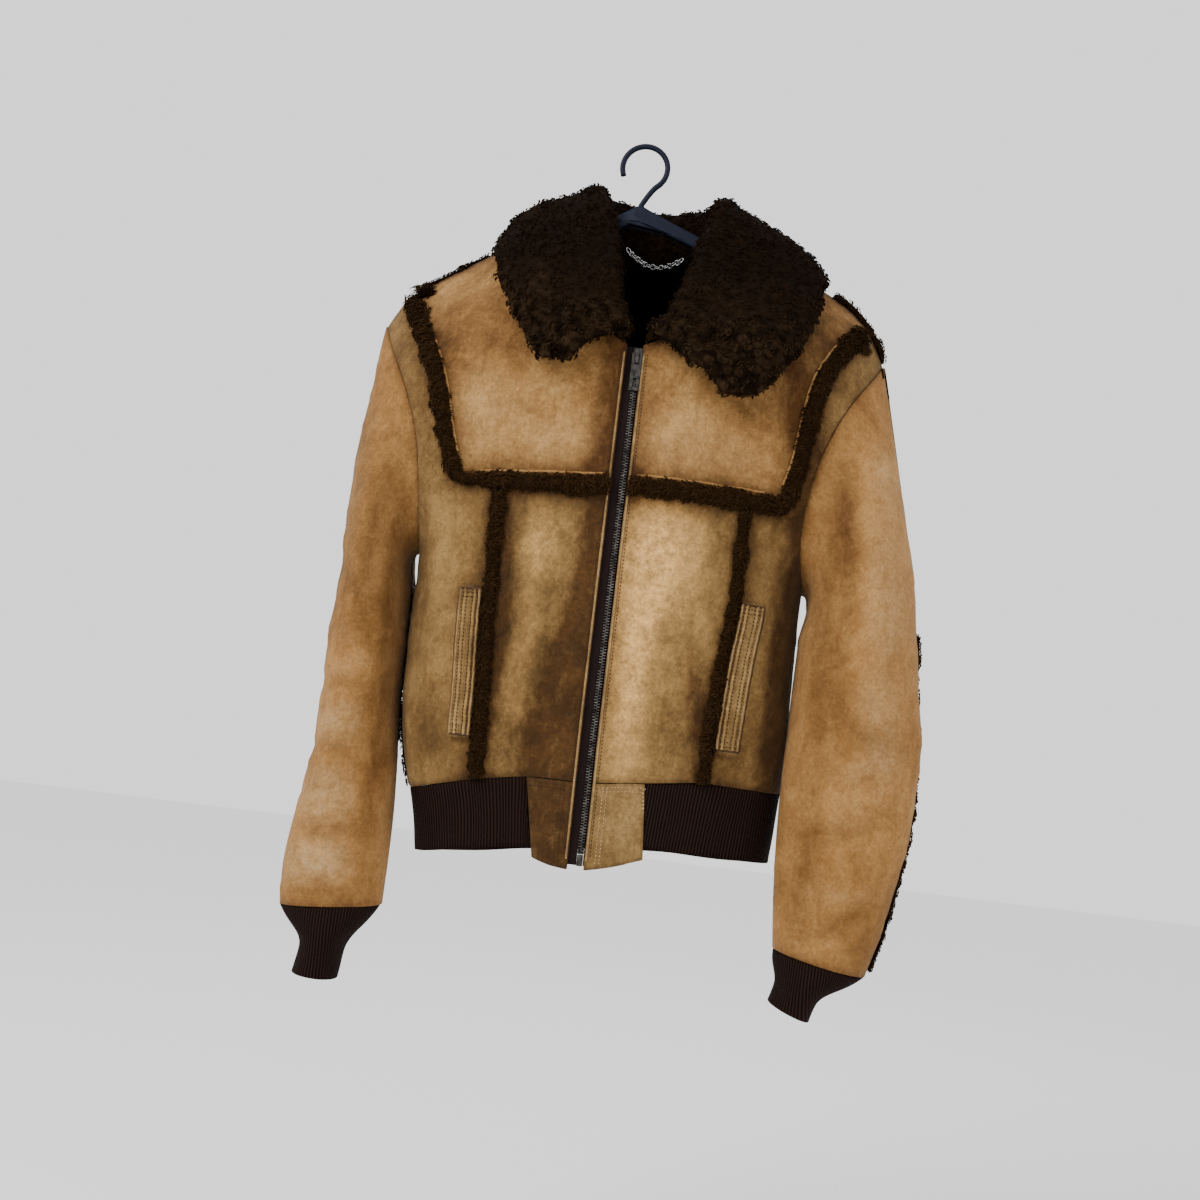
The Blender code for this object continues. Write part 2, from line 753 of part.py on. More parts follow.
def armhole_place(side, degrees):
    """The place on the torso of a point of the armhole's edge."""
    angle = math.radians(degrees)
    z = mix(UNDERARM_Z, SHOULDER_ENDS[side], (1 + math.cos(angle)) / 2)
    return outer_edge(side, z, math.sin(angle) < 0), z


def armhole_start(side, degrees, layer):
    """The sleeve's first edge, beside the rim of the armhole and on its open side."""
    around, z = armhole_place(side, degrees)
    low = math.floor(degrees / 180) * 180
    before = body(*armhole_place(side, max(degrees - 2, low + 0.01)))
    after = body(*armhole_place(side, min(degrees + 2, low + 179.99)))
    beside = body_normal(around, z).cross(after - before).normalized() * side
    off_shoulder = min(abs((degrees + 180) % 360 - 180) / 30, 1.0)
    beside = Vector((side, 0, 0)).lerp(beside, off_shoulder).normalized()
    return body_wall(around, z, HIDE * layer) + beside * ARMHOLE_GAP


def sleeve(side):
    rings = SLEEVE_RINGS[side]

    def surface(degrees, along):
        if along >= 1:
            z = mix(rings[0].z, rings[-1].z, along - 1)
            ring = row_at(rings, z)
            point = ring_point(ring, side, degrees)
            middle = Vector((ring.x, ring.y, point.z))
            spread = (point - middle).length
            dent = 0.0
            for crease in CREASES:
                apart = (degrees - crease.angle + 180) % 360 - 180
                if crease.side == side:
                    dent += crease.deep * soft(apart / crease.wide) * soft((point.z - crease.z) / crease.long)
            return middle + (point - middle) * (1 - dent * min(max(z - rings[-1].z, 0) / 30, 1) / spread)
        start = armhole_start(side, degrees, 0)
        cosine = math.cos(math.radians(degrees))
        lift = (1 + cosine) / 2
        depart = Vector((side * mix(0.95, 0.25, lift), 0, -mix(0.25, 0.95, lift))).normalized()
        end = ring_point(rings[0], side, degrees)
        first = start + depart * mix(16, 34, lift)
        second = end + Vector((-side * SLEEVE_HEAD_LEAN[side] * lift, 0, 1)) * mix(14, 80, lift)
        t = max(along, 0.0)
        u = 1 - t
        return start * u**3 + first * (3 * u * u * t) + second * (3 * u * t * t) + end * t**3

    return surface


def sleeve_normal(side):
    surface = sleeve(side)

    def normal(degrees, along):
        along_p = surface(degrees + 1.5, along) - surface(degrees - 1.5, along)
        along_q = surface(degrees, min(along + 0.01, 2)) - surface(degrees, max(along - 0.01, 0))
        return along_p.cross(along_q).normalized() * side

    return normal


def sleeve_seams(side, along):
    """The angles of the back and inner seams; at the armhole they meet the shoulder and side seams."""
    high, low = SLEEVE_BACK_SEAM[side]
    settled = min(max(along - 1, 0) / 0.4, 1.0)
    settled = settled * settled * (3 - 2 * settled)
    back = mix(high, low, max(along - 1, 0)) * settled
    return back, mix(180.0, SLEEVE_INNER_SEAM, settled)


def make_sleeve_half(side, front, home):
    surface, normal = sleeve(side), sleeve_normal(side)
    columns, head_rows, tube_rows = ARMHOLE_ROWS, 7, 11

    def place(i, j, layer):
        along = j / head_rows if j <= head_rows else 1 + (j - head_rows) / tube_rows
        back_seam, inner_seam = sleeve_seams(side, along)
        gap = 0.35
        if j > 0:
            span = (surface(back_seam + 2, along) - surface(back_seam - 2, along)).length
            gap = max(gap, 4 * SEAM / 2 / span)
        if front:
            degrees = mix(back_seam + gap, inner_seam - 0.35, i / columns)
        else:
            degrees = mix(inner_seam + 0.35, back_seam + 360 - gap, i / columns)
        if j == 0:
            return armhole_start(side, degrees, layer)
        facing = {0: back_seam if front else inner_seam, columns: inner_seam if front else back_seam + 360}
        return surface(degrees, along) - normal(facing.get(i, degrees), along) * HIDE * layer

    name = f"sleeve_{'front' if front else 'back'}_{SIDE_NAME[side]}"
    return slab(name, columns, head_rows + tube_rows, place, "suede", home)


def make_cuff(side, home):
    columns, rows = 16, 7
    rings = CUFF_RINGS[side]

    def place(i, j, layer):
        z = mix(rings[0].z, rings[-1].z, j / rows)
        ring = row_at(rings, z)
        thinner = ring._replace(wide=ring.wide - RIB * layer, deep=ring.deep - RIB * layer)
        return ring_point(thinner, side, 360 * (i % columns) / columns, z)

    return slab(f"rib_cuff_{SIDE_NAME[side]}", columns, rows, place, "rib_knit", home, closed=True)


# ---------------------------------------------------------------- collar


def collar_seam(share):
    """The foot of the stand, just inside the neck opening."""
    side = -1 if share < 0.5 else 1
    turn = math.pi * (share if share < 0.5 else 1 - share) * 2
    half = NECK_HALF_WIDTH - COLLAR_PILE / 2 - 6
    front = turn < math.pi / 2
    clear = TAPE_SHOWN / 2 + 2.5 if front else 0.0
    offset = clear + (half - clear) * math.sin(turn)
    edge_x = ZIP_X + side * offset * NECK_HALF_WIDTH / half
    edge = front_top(edge_x) if front else back_top(edge_x)
    surface = body(around_at(edge_x, edge, not front), edge)
    inside = HIDE / 2 if front else -HIDE / 2
    return Vector((ZIP_X + side * offset, surface.y + inside, edge + COLLAR_FOOT))


def collar_row(share):
    place = share * (len(COLLAR) - 1)
    k = min(int(place), len(COLLAR) - 2)
    t = place - k
    rows = [COLLAR[min(max(k + n, 0), len(COLLAR) - 1)] for n in (-1, 0, 1, 2)]
    return CollarRow(
        *(
            smooth_step(a, b, c, d, t)
            for a, b, c, d in zip(*rows)
        )
    )


def torso_depth(x, y, z):
    """How far front or back stands out at this x where the shoulders' rounding doesn't reach."""
    section = row_at(SECTIONS, z)
    middle = (section.right + section.left) / 2
    share = min(abs(x - middle) * 2 / (section.left - section.right), 0.999)
    return (section.back if y > 0 else section.front) * (1 - share**2.5) ** 0.4


def gap_above(x, y, z):
    reach = min(abs(y) / torso_depth(x, y, z), 1.0) ** 1.25
    return z - ridge_z(x) + SHOULDER_ROUNDING * math.asin(reach) * 2 / math.pi


def gap_beside(x, y, z):
    below = min(max((ridge_z(x) - z) / SHOULDER_ROUNDING, 0.0), 1.0)
    return abs(y) - torso_depth(x, y, z) * math.sin(below * math.pi / 2) ** 0.8


def clear_of_body(point):
    """The point, moved off the shoulders or the chest where it would lie in them."""
    for _ in range(4):
        x, y, z = point
        if abs(x - ZIP_X) < NECK_HALF_WIDTH and z > NECK_FRONT_Z + 20 and y < 60:
            return point
        best, way = -1000.0, None
        for gap in (gap_above, gap_beside):
            if gap is gap_above and abs(y) > torso_depth(x, y, z) * 0.98:
                continue
            slope = Vector(
                (
                    gap(x + 1, y, z) - gap(x - 1, y, z),
                    gap(x, y + 0.5, z) - gap(x, y - 0.5, z),
                    gap(x, y, z + 1) - gap(x, y, z - 1),
                )
            )
            slope = Vector((slope.x / 2, slope.y, slope.z / 2))
            steep = max(slope.length, 0.3)
            if gap(x, y, z) / steep > best:
                best, way = gap(x, y, z) / steep, slope / steep
        if best >= COLLAR_CLEARANCE:
            return point
        point = point + way * (COLLAR_CLEARANCE - best)
    return point


def collar_middle(share, down):
    """The collar's middle surface: up the stand, over the fold and down the fall as down goes 0 to 1."""
    row = collar_row(share)
    foot = collar_seam(share)
    fold = Vector((row.fold_x, row.fold_y, row.fold_z))
    edge = clear_of_body(Vector((row.edge_x, row.edge_y, row.edge_z)))
    out = Vector((fold.x - ZIP_X, fold.y - 5, 0))
    out = (out.normalized() + Vector((edge.x - fold.x, edge.y - fold.y, 0)).normalized()).normalized()
    end = min(share, 1 - share)
    radius = mix(COLLAR_END_RADIUS, COLLAR_FOLD_RADIUS, min(end / 0.2, 1.0))
    inner = fold - out * radius - Vector((0, 0, radius))
    outer = fold + out * radius - Vector((0, 0, radius * 0.9))
    swell = Vector((out.x, out.y, 0.7)) * COLLAR_SWELL * min(0.5 + end / 0.3, 1.0)
    stops = (
        foot,
        foot.lerp(inner, 0.5) - out * 1.5,
        inner,
        fold,
        outer,
        clear_of_body(outer.lerp(edge, 0.35) + swell * 0.8),
        clear_of_body(outer.lerp(edge, 0.7) + swell),
        edge,
    )
    place = down * (len(stops) - 1)
    k = min(int(place), len(stops) - 2)
    t = place - k
    a, b, c, d = (stops[min(max(k + n, 0), len(stops) - 1)] for n in (-1, 0, 1, 2))
    point = smooth_step(a, b, c, d, t)
    return clear_of_body(point) if k >= 4 else point


def make_collar(home):
    columns, rows = 32, 12

    def place(i, j, layer):
        share, down = i / columns, j / rows
        side = collar_middle(min(share + 0.01, 1), down) - collar_middle(max(share - 0.01, 0), down)
        way = collar_middle(share, min(down + 0.02, 1)) - collar_middle(share, max(down - 0.02, 0))
        normal = side.cross(way).normalized()
        return collar_middle(share, down) + normal * COLLAR_PILE * (0.5 - layer)

    return slab("collar", columns, rows, place, "wool", home)


# ---------------------------------------------------------------- wool at the seams, pockets


def even(value):
    return lambda share: value


def make_yoke_fur(side, home):
    """Wool along the yoke's lower seam and up its outer edge to the shoulder."""
    corner_x = side_column(YOKE_EDGES, side, -384)
    corner_z = line_at(YOKE_SEAM, corner_x)
    start = ZIP_X + side * (TAPE_SHOWN / 2 + 1)
    stops = [mix(start, corner_x, k / 5) for k in range(5)]
    places = [(x, line_at(YOKE_SEAM, x)) for x in stops]
    places.append((corner_x - side * 9, corner_z))
    places.append((corner_x - side * 2, corner_z + 2.5))
    places.append((corner_x, corner_z + 10))
    top = ridge_z(side_column(YOKE_EDGES, side, -172)) - YOKE_FUR_STOP[side]
    for k in range(1, 7):
        z = mix(corner_z + 10, top, k / 6)
        places.append((side_column(YOKE_EDGES, side, z), z))
    route = [(around_at(x, z), z) for x, z in route_along(places, 30)]
    narrow = (lambda share: YOKE_FUR - 2.5 * soft((share - 0.4) / 0.1)) if side < 0 else even(YOKE_FUR)
    name = f"yoke_fur_{SIDE_NAME[side]}"
    return strip(name, body, body_normal, route, narrow, even(FUR_HEIGHT), "wool", home)


def make_princess_fur(side, home):
    top = line_at(YOKE_SEAM, side_column(PRINCESS, side, -384)) - YOKE_FUR - 2
    bottom = line_at(WAIST_SEAM, side_column(PRINCESS, side, -680)) + 1
    places = []
    for k in range(9):
        z = mix(top, bottom, k / 8)
        places.append((side_column(PRINCESS, side, z), z))
    route = [(around_at(x, z), z) for x, z in route_along(places, 16)]
    name = f"princess_fur_{SIDE_NAME[side]}"
    width = even(PRINCESS_FUR[side])
    return strip(name, body, body_normal, route, width, even(FUR_HEIGHT - 1), "wool", home)


def make_side_fur(side, home):
    top = SIDE_FUR_TOP[side]
    bottom = line_at(WAIST_SEAM, row_at(SECTIONS, -680)[2 if side > 0 else 1]) + 2
    route = [(side * 1.0, mix(top, bottom, k / 11)) for k in range(12)]
    name = f"side_fur_{SIDE_NAME[side]}"
    return strip(name, body, body_normal, route, even(SIDE_FUR), even(2.2), "wool", home)


def make_shoulder_fur(side, home):
    """Wool along the shoulder seam, lying over the edges of front and back."""
    start, end = SHOULDER_FUR_ENDS[side]
    count = 8

    def place(i, j, layer):
        x = mix(start, end, j / count)
        top = ridge_z(x)
        rise = LIFT if layer else LIFT + SHOULDER_FUR_HEIGHT[side] * (1.0 if i == 1 else 0.5)
        slope = (ridge_z(x + 4) - ridge_z(x - 4)) / 8
        up = Vector((-slope, 0, 1)).normalized()
        if i == 1:
            return Vector((x, 1.5, top)) + up * (rise + 0.3)
        z = top - (SHOULDER_FUR * 1.1 if i == 0 else 1.2)
        around = around_at(x, z, i == 0)
        return body(around, z) + (body_normal(around, z) + up * 0.3).normalized() * rise

    return slab(f"shoulder_fur_{SIDE_NAME[side]}", 2, count, place, "wool", home)


def make_sleeve_fur(side, home):
    route = []
    for k in range(21):
        along = mix(1.1, 1.985, k / 20)
        route.append((sleeve_seams(side, along)[0], along))
    surface, normal = sleeve(side), sleeve_normal(side)
    count = len(route) - 1

    def place(i, j, layer):
        degrees, along = route[j]
        here = surface(degrees, along)
        per_degree = (surface(degrees + 1, along) - here).length
        degrees += (i - 1) * SLEEVE_FUR / per_degree
        rise = LIFT if layer else LIFT + (FUR_HEIGHT - 3) * (1.0 if i == 1 else 0.45)
        return surface(degrees, along) + normal(degrees, along) * rise

    return slab(f"sleeve_fur_{SIDE_NAME[side]}", 2, count, place, "wool", home)


def make_welt(welt, home):
    """The stitched strip beside a pocket's mouth."""
    columns, rows = 2, 8

    def place(i, j, layer):
        z = mix(welt.bottom_z, welt.top_z, j / rows)
        seam = side_column(PRINCESS, welt.side, z)
        x = seam + welt.side * (welt.seam_distance + WELT_WIDTH * i / columns)
        rise = LIFT if layer else LIFT + WELT_THICKNESS
        around = around_at(x, z)
        return body(around, z) + body_normal(around, z) * rise

    return slab(f"pocket_welt_{SIDE_NAME[welt.side]}", columns, rows, place, "suede", home)


# ---------------------------------------------------------------- zip

TAPE_THICKNESS = 1.2
TAPE_UNDER = 6.0  # how far the tape reaches behind the leather
TEETH_WIDTH = 6.0
TEETH_HEIGHT = 3.0
SLIDER_TOP_Z = -240.0
SLIDER_LENGTH = 20.0
SLIDER_WIDTH = 9.4
ZIP_BOTTOM_Z = -752.0
BOX_LENGTH = 11.0
BAIL_WIRE = 1.6
BAIL_WIDTH = 3.4
BAIL_CLEAR = 2.6
PULL_LENGTH = 38.0
PULL_WIDTH = 10.0
PULL_THICKNESS = 1.6


def front_depth(z):
    """How far the leather's outer face stands out beside the zip."""
    return body(around_at(ZIP_X, z), z).y


def make_tape(side, home):
    rows = 16
    near = TEETH_X + side * (TEETH_WIDTH / 2 + SEAM / 2)
    far = ZIP_X + side * (TAPE_SHOWN / 2 + TAPE_UNDER)

    def place(i, j, layer):
        z = mix(ZIP_BOTTOM_Z, NECK_FRONT_Z - 1, j / rows)
        x = mix(near, far, i / 2)
        depth = HIDE + SEAM + TAPE_THICKNESS * layer
        around = around_at(x, z)
        return body(around, z) - body_normal(around, z) * depth

    return slab(f"zip_tape_{SIDE_NAME[side]}", 2, rows, place, "zip_tape", home)


def make_teeth(home):
    rows = 15
    top = SLIDER_TOP_Z - SLIDER_LENGTH - 0.3
    bottom = ZIP_BOTTOM_Z + BOX_LENGTH + 0.3

    def place(i, j, layer):
        z = mix(bottom, top, j / rows)
        x = TEETH_X + TEETH_WIDTH * (i - 0.5)
        depth = HIDE + SEAM + TAPE_THICKNESS - TEETH_HEIGHT * (1 - layer)
        around = around_at(x, z)
        return body(around, z) - body_normal(around, z) * depth

    return slab("zip_teeth", 1, rows, place, "gunmetal", home)


def box(name, size, centre, slot, home, bevel=0.0):
    bm = bmesh.new()
    bmesh.ops.create_cube(bm, size=1.0)
    bmesh.ops.scale(bm, vec=Vector(size) * MM, verts=bm.verts)
    bmesh.ops.translate(bm, vec=Vector(centre) * MM, verts=bm.verts)
    made = finish_mesh(bm, name, slot, home, 30.0)
    if bevel:
        rounding = made.modifiers.new("rounding", "BEVEL")
        rounding.width = bevel * MM
        rounding.segments = 2
    return made


def cutter(name, size, centre, home):
    """A box that shapes another solid and isn't a piece of its own."""
    made = box(name, size, centre, "gunmetal", home)
    made.hide_render = True
    made.display_type = "WIRE"
    return made


def join(base, addition, operation="UNION"):
    """Add one solid to another, or cut it out."""
    step = base.modifiers.new("join", "BOOLEAN")
    step.operation = operation
    step.object = addition
    step.solver = "EXACT"
    return step


def slider_face_y():
    return front_depth(PULL_AXIS_Z) + 1.0


def make_slider(home, cutters):
    face = slider_face_y()
    thickness = HIDE + SEAM - 1.0 - 0.3
    middle_z = SLIDER_TOP_Z - SLIDER_LENGTH / 2
    slider = box(
        "zip_slider",
        (SLIDER_WIDTH, thickness, SLIDER_LENGTH),
        (TEETH_X, face + thickness / 2, middle_z),
        "gunmetal",
        home,
        1.5,
    )
    outer = BAIL_CLEAR + BAIL_WIRE
    span = 11.5
    bail_z = PULL_AXIS_Z - span / 2 + 2.4
    bail_size = (BAIL_WIDTH, outer + 1, span + BAIL_WIRE)
    bail = cutter("bail_outer", bail_size, (TEETH_X, face - outer / 2 + 0.5, bail_z), cutters)
    hole_size = (BAIL_WIDTH * 2, BAIL_CLEAR + 3, span - BAIL_WIRE)
    hole = cutter("bail_hole", hole_size, (TEETH_X, face - BAIL_CLEAR / 2 + 1.5, bail_z), cutters)
    join(bail, hole, "DIFFERENCE")
    join(slider, bail)
    return slider


def make_pull(home, cutters):
    """The pull tab: a plate with a window for the bail, which turns on the bar above the window."""
    axis_y = slider_face_y() - BAIL_CLEAR / 2 - 0.15
    hinge = bpy.data.objects.new("pull_axis", None)
    hinge.location = Vector((TEETH_X, axis_y, PULL_AXIS_Z)) * MM
    home.objects.link(hinge)
    top = PULL_THICKNESS / 2
    plate_size = (PULL_WIDTH, PULL_THICKNESS, PULL_LENGTH)
    plate = box("pull_tab", plate_size, (0, 0, top - PULL_LENGTH / 2), "gunmetal", home)
    window = cutter("pull_window", (BAIL_WIDTH + 2.2, 4, 10.5), (0, 0, -top - 5.25), cutters)
    slot = cutter("pull_slot", (3.6, 4, 9), (0, 0, top - PULL_LENGTH + 8), cutters)
    for thing in (window, slot):
        thing.parent = hinge
        join(plate, thing, "DIFFERENCE")
    plate.parent = hinge
    return plate


def make_zip_box(home):
    z = ZIP_BOTTOM_Z + BOX_LENGTH / 2
    depth = front_depth(z) + HIDE + SEAM + TAPE_THICKNESS
    size = (TEETH_WIDTH - 0.2, 4.4, BOX_LENGTH)
    return box("zip_box", size, (TEETH_X, depth - 2.2, z), "gunmetal", home, 0.6)


# ---------------------------------------------------------------- neck chain and hanger


def tube(name, points, radius, slot, home, resolution=2):
    curve = bpy.data.curves.new(name, "CURVE")
    curve.dimensions = "3D"
    curve.bevel_depth = radius * MM
    curve.bevel_resolution = resolution
    curve.use_fill_caps = True
    spline = curve.splines.new("POLY")
    spline.points.add(len(points) - 1)
    for stop, point in zip(spline.points, points):
        stop.co = (*(Vector(point) * MM), 1)
    made = bpy.data.objects.new(name, curve)
    made.data.materials.append(material(slot))
    home.objects.link(made)
    return made


CHAIN_ENDS = ((-12.0, -97.0), (50.0, -102.0))
CHAIN_SAG = 13.0
CHAIN_WIRE = 1.5


def stand_inner(x, z):
    """The inner face of the collar's stand at the back of the neck."""
    share, down = 0.5, 0.1
    for _ in range(12):
        found = collar_middle(share, down)
        share += (x - found.x) / 500
        down = min(max(down + (z - found.z) / 250, 0.0), 0.4)
    return collar_middle(share, down).y - COLLAR_PILE / 2


def make_neck_chain(home):
    """The hanging chain inside the collar, one closed tube for all its links."""
    (x0, z0), (x1, z1) = CHAIN_ENDS
    points = []
    count = 14
    for k in range(count + 1):
        share = k / count
        drop = 4 * share * (1 - share)
        x = mix(x0, x1, share)
        z = mix(z0, z1, share) - CHAIN_SAG * drop
        points.append((x, stand_inner(x, z) - CHAIN_WIRE - 2.2 - 4 * drop, z))
    return tube("neck_chain", points, CHAIN_WIRE, "chain_steel", home)


def make_hanger(home, cutters):
    """A plain moulded bow with a hook; its arms carry the shoulders from inside."""
    curve = bpy.data.curves.new("hanger", "CURVE")
    curve.dimensions = "2D"
    curve.fill_mode = "BOTH"
    curve.extrude = HANGER_THICKNESS / 2 * MM
    spline = curve.splines.new("POLY")
    right_end = HANGER_TOP_Z - HANGER_REACH[-1] * HANGER_SLOPE[-1]
    left_end = HANGER_TOP_Z - HANGER_REACH[1] * HANGER_SLOPE[1]
    outline = [
        (-HANGER_REACH[-1], right_end),
        (-12, HANGER_TOP_Z - 12 * HANGER_SLOPE[-1] + 1),
        (-5, HANGER_TOP_Z + 2),
        (5, HANGER_TOP_Z + 2),
        (12, HANGER_TOP_Z - 12 * HANGER_SLOPE[1] + 1),
        (HANGER_REACH[1], left_end),
        (HANGER_REACH[1] + 4, left_end - 6),
        (HANGER_REACH[1] - 1, left_end - HANGER_ARM - 3),
        (20, HANGER_TOP_Z - 20 * HANGER_SLOPE[1] - HANGER_ARM - 1),
        (0, HANGER_TOP_Z - HANGER_ARM - 5),
        (-20, HANGER_TOP_Z - 20 * HANGER_SLOPE[-1] - HANGER_ARM - 1),
        (-HANGER_REACH[-1] + 1, right_end - HANGER_ARM - 3),
        (-HANGER_REACH[-1] - 4, right_end - 6),
    ]
    spline.points.add(len(outline) - 1)
    for stop, (x, z) in zip(spline.points, outline):
        stop.co = (x * MM, z * MM, 0, 1)
    spline.use_cyclic_u = True
    flat = bpy.data.objects.new("hanger_flat", curve)
    flat.rotation_euler = (math.pi / 2, 0, 0)
    cutters.objects.link(flat)

    radius = HOOK_INSIDE + HOOK_WIRE
    centre_z = -HOOK_INSIDE
    points = [(0, 0, HANGER_TOP_Z - 4), (0, 0, HANGER_TOP_Z + 4)]
    for k in range(20):
        angle = math.radians(mix(-62, 205, k / 19))
        points.append((radius * math.cos(angle), 0, centre_z + radius * math.sin(angle)))
    hook = tube("hanger_hook_wire", points, HOOK_WIRE, "hanger_plastic", cutters, 3)
    bpy.context.view_layer.update()
    solids = []
    for source in (flat, hook):
        graph = bpy.context.evaluated_depsgraph_get()
        mesh = bpy.data.meshes.new_from_object(source.evaluated_get(graph))
        bm = bmesh.new()
        bm.from_mesh(mesh)
        bmesh.ops.remove_doubles(bm, verts=bm.verts, dist=0.00001)
        bmesh.ops.recalc_face_normals(bm, faces=bm.faces)
        bm.to_mesh(mesh)
        bm.free()
        made = bpy.data.objects.new(source.name + "_solid", mesh)
        made.matrix_world = source.matrix_world.copy()
        solids.append(made)
    bpy.data.objects.remove(flat)
    bpy.data.objects.remove(hook)
    bow, hook_solid = solids
    bow.name = "hanger"
    bow.data.materials.clear()
    bow.data.materials.append(material("hanger_plastic"))
    home.objects.link(bow)
    cutters.objects.link(hook_solid)
    hook_solid.hide_render = True
    hook_solid.display_type = "WIRE"
    join(bow, hook_solid)
    return bow


# ---------------------------------------------------------------- the whole


def main():
    reset()
    home = collection("shearling_jacket_on_hanger")
    cutters = collection("cutters")
    for side in (-1, 1):
        make_yoke(side, home)
        make_side_front(side, home)
        make_centre_front(side, home)
        make_tab(side, home)
        make_sleeve_half(side, True, home)
        make_sleeve_half(side, False, home)
        make_cuff(side, home)
        make_yoke_fur(side, home)
        make_princess_fur(side, home)
        make_side_fur(side, home)
        make_shoulder_fur(side, home)
        make_sleeve_fur(side, home)
        make_tape(side, home)
    make_back(home)
    make_waistband(home)
    make_collar(home)
    for welt in WELTS:
        make_welt(welt, home)
    make_teeth(home)
    make_slider(home, cutters)
    make_pull(home, cutters)
    make_zip_box(home)
    make_neck_chain(home)
    make_hanger(home, cutters)


main()
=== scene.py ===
"""The looks of a shearling jacket on a hanger: suede, curly wool, rib knit, zip, chain and stitching."""

from math import copysign, cos, pi, radians, sin, tan

import bmesh
import bpy
import numpy as np
from mathutils import Matrix, Vector, noise
from mathutils.bvhtree import BVHTree
from mathutils.kdtree import KDTree


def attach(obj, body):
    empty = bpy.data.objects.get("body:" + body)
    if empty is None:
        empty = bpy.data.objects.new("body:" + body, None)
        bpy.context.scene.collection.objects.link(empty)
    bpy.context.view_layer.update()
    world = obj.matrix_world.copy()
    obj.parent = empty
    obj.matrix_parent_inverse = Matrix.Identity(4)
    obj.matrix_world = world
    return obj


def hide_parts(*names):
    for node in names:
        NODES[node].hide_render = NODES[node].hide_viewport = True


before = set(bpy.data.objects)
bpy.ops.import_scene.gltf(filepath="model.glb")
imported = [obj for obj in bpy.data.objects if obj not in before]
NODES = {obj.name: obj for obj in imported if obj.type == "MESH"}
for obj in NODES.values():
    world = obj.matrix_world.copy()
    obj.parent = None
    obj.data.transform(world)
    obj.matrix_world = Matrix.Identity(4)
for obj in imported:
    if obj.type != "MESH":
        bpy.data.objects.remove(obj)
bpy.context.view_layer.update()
# the wearer's right is at -X and the wearer's left at +X
SIDES = {"right": -1, "left": 1}
MM = 0.001
TINY = 1e-9
rng = np.random.default_rng(7)
# the vector noise starts from the clock unless it is given a seed
noise.seed_set(7)

# every length is in metres, but for those said to be in mm; the zip stands upright at these x
ZIP_X = 0.018
TEETH_X = 0.0214


def add_object(name, data):
    obj = bpy.data.objects.new(name, data)
    bpy.context.scene.collection.objects.link(obj)
    return obj


# ---------------- materials


class Shade:
    """A material's node tree, with short ways to add and join its nodes.

    A noise is given by its waves in a metre, detail and roughness; a range by the two values that it
    reads and the two that it gives; a bump by its strength and its height.
    """

    def __init__(self, name):
        self.material = bpy.data.materials.new(name)
        self.material.use_nodes = True
        self.tree = self.material.node_tree
        self.shader = self.tree.nodes["Principled BSDF"]
        self.place = self.tree.nodes.new("ShaderNodeTexCoord").outputs["Object"]

    def fill(self, node, inputs):
        for key, value in inputs.items():
            if isinstance(value, bpy.types.NodeSocket):
                self.tree.links.new(value, node.inputs[key])
            else:
                node.inputs[key].default_value = value

    def node(self, kind, inputs, **settings):
        made = self.tree.nodes.new("ShaderNode" + kind)
        for key, value in settings.items():
            setattr(made, key, value)
        self.fill(made, inputs)
        return made

    def noise(self, scale, detail=3.0, roughness=0.55, stretch=None, distortion=0.0):
        vector = self.place
        if stretch:
            vector = self.node("Mapping", {"Vector": vector, "Scale": stretch}).outputs["Vector"]
        form = {"Scale": scale, "Detail": detail, "Roughness": roughness, "Distortion": distortion}
        return self.node("TexNoise", {"Vector": vector, **form}).outputs["Fac"]

    def cells(self, scale):
        return self.node("TexVoronoi", {"Vector": self.place, "Scale": scale}).outputs["Distance"]

    def wave(self, scale, distortion, direction):
        form = {"Vector": self.place, "Scale": scale, "Distortion": distortion}
        return self.node("TexWave", form, bands_direction=direction).outputs["Fac"]

    def ramp(self, value, stops):
        made = self.node("ValToRGB", {"Fac": value})
        elements = made.color_ramp.elements
        while len(elements) < len(stops):
            elements.new(0.5)
        for element, (position, colour) in zip(elements, stops):
            element.position = position
            element.color = (*colour, 1)
        return made.outputs["Color"]

    def range(self, value, low, high, to_low=0.0, to_high=1.0):
        inputs = dict(enumerate((value, low, high, to_low, to_high)))
        return self.node("MapRange", inputs).outputs["Result"]

    def math(self, operation, a, b=0.0):
        return self.node("Math", {0: a, 1: b}, operation=operation).outputs[0]

    def times(self, a, b):
        return self.math("MULTIPLY", a, b)

    def mix(self, a, b, share, blend="MIX"):
        a, b = ((*given, 1) if isinstance(given, tuple) else given for given in (a, b))
        return self.node("Mix", {0: share, 6: a, 7: b}, data_type="RGBA", blend_type=blend).outputs[2]

    def attribute(self, name):
        return self.node("Attribute", {}, attribute_name=name).outputs["Fac"]

    def bump(self, height, strength, distance, under=None):
        inputs = {"Height": height, "Strength": strength, "Distance": distance}
        if under is not None:
            inputs["Normal"] = under
        return self.node("Bump", inputs).outputs["Normal"]

    def paint(self, colour, roughness, normal=None, specular=0.5, **more):
        """The finished material; more names the shader's other inputs, with _ for a space."""
        inputs = {"Base Color": colour, "Roughness": roughness, "Specular IOR Level": specular}
        if normal is not None:
            inputs["Normal"] = normal
        inputs.update((key.replace("_", " "), value) for key, value in more.items())
        self.fill(self.shader, inputs)
        return self.material


# the tint multiplied in where wool dye, dirt and painted shade darken the suede
SOIL_AND_SHADE_TINT = (0.17, 0.115, 0.07)
SUEDE_SHEEN = {"Sheen_Weight": 0.10, "Sheen_Roughness": 0.5, "Sheen_Tint": (0.9, 0.66, 0.4, 1)}
NAP_SHADOW = 0.35


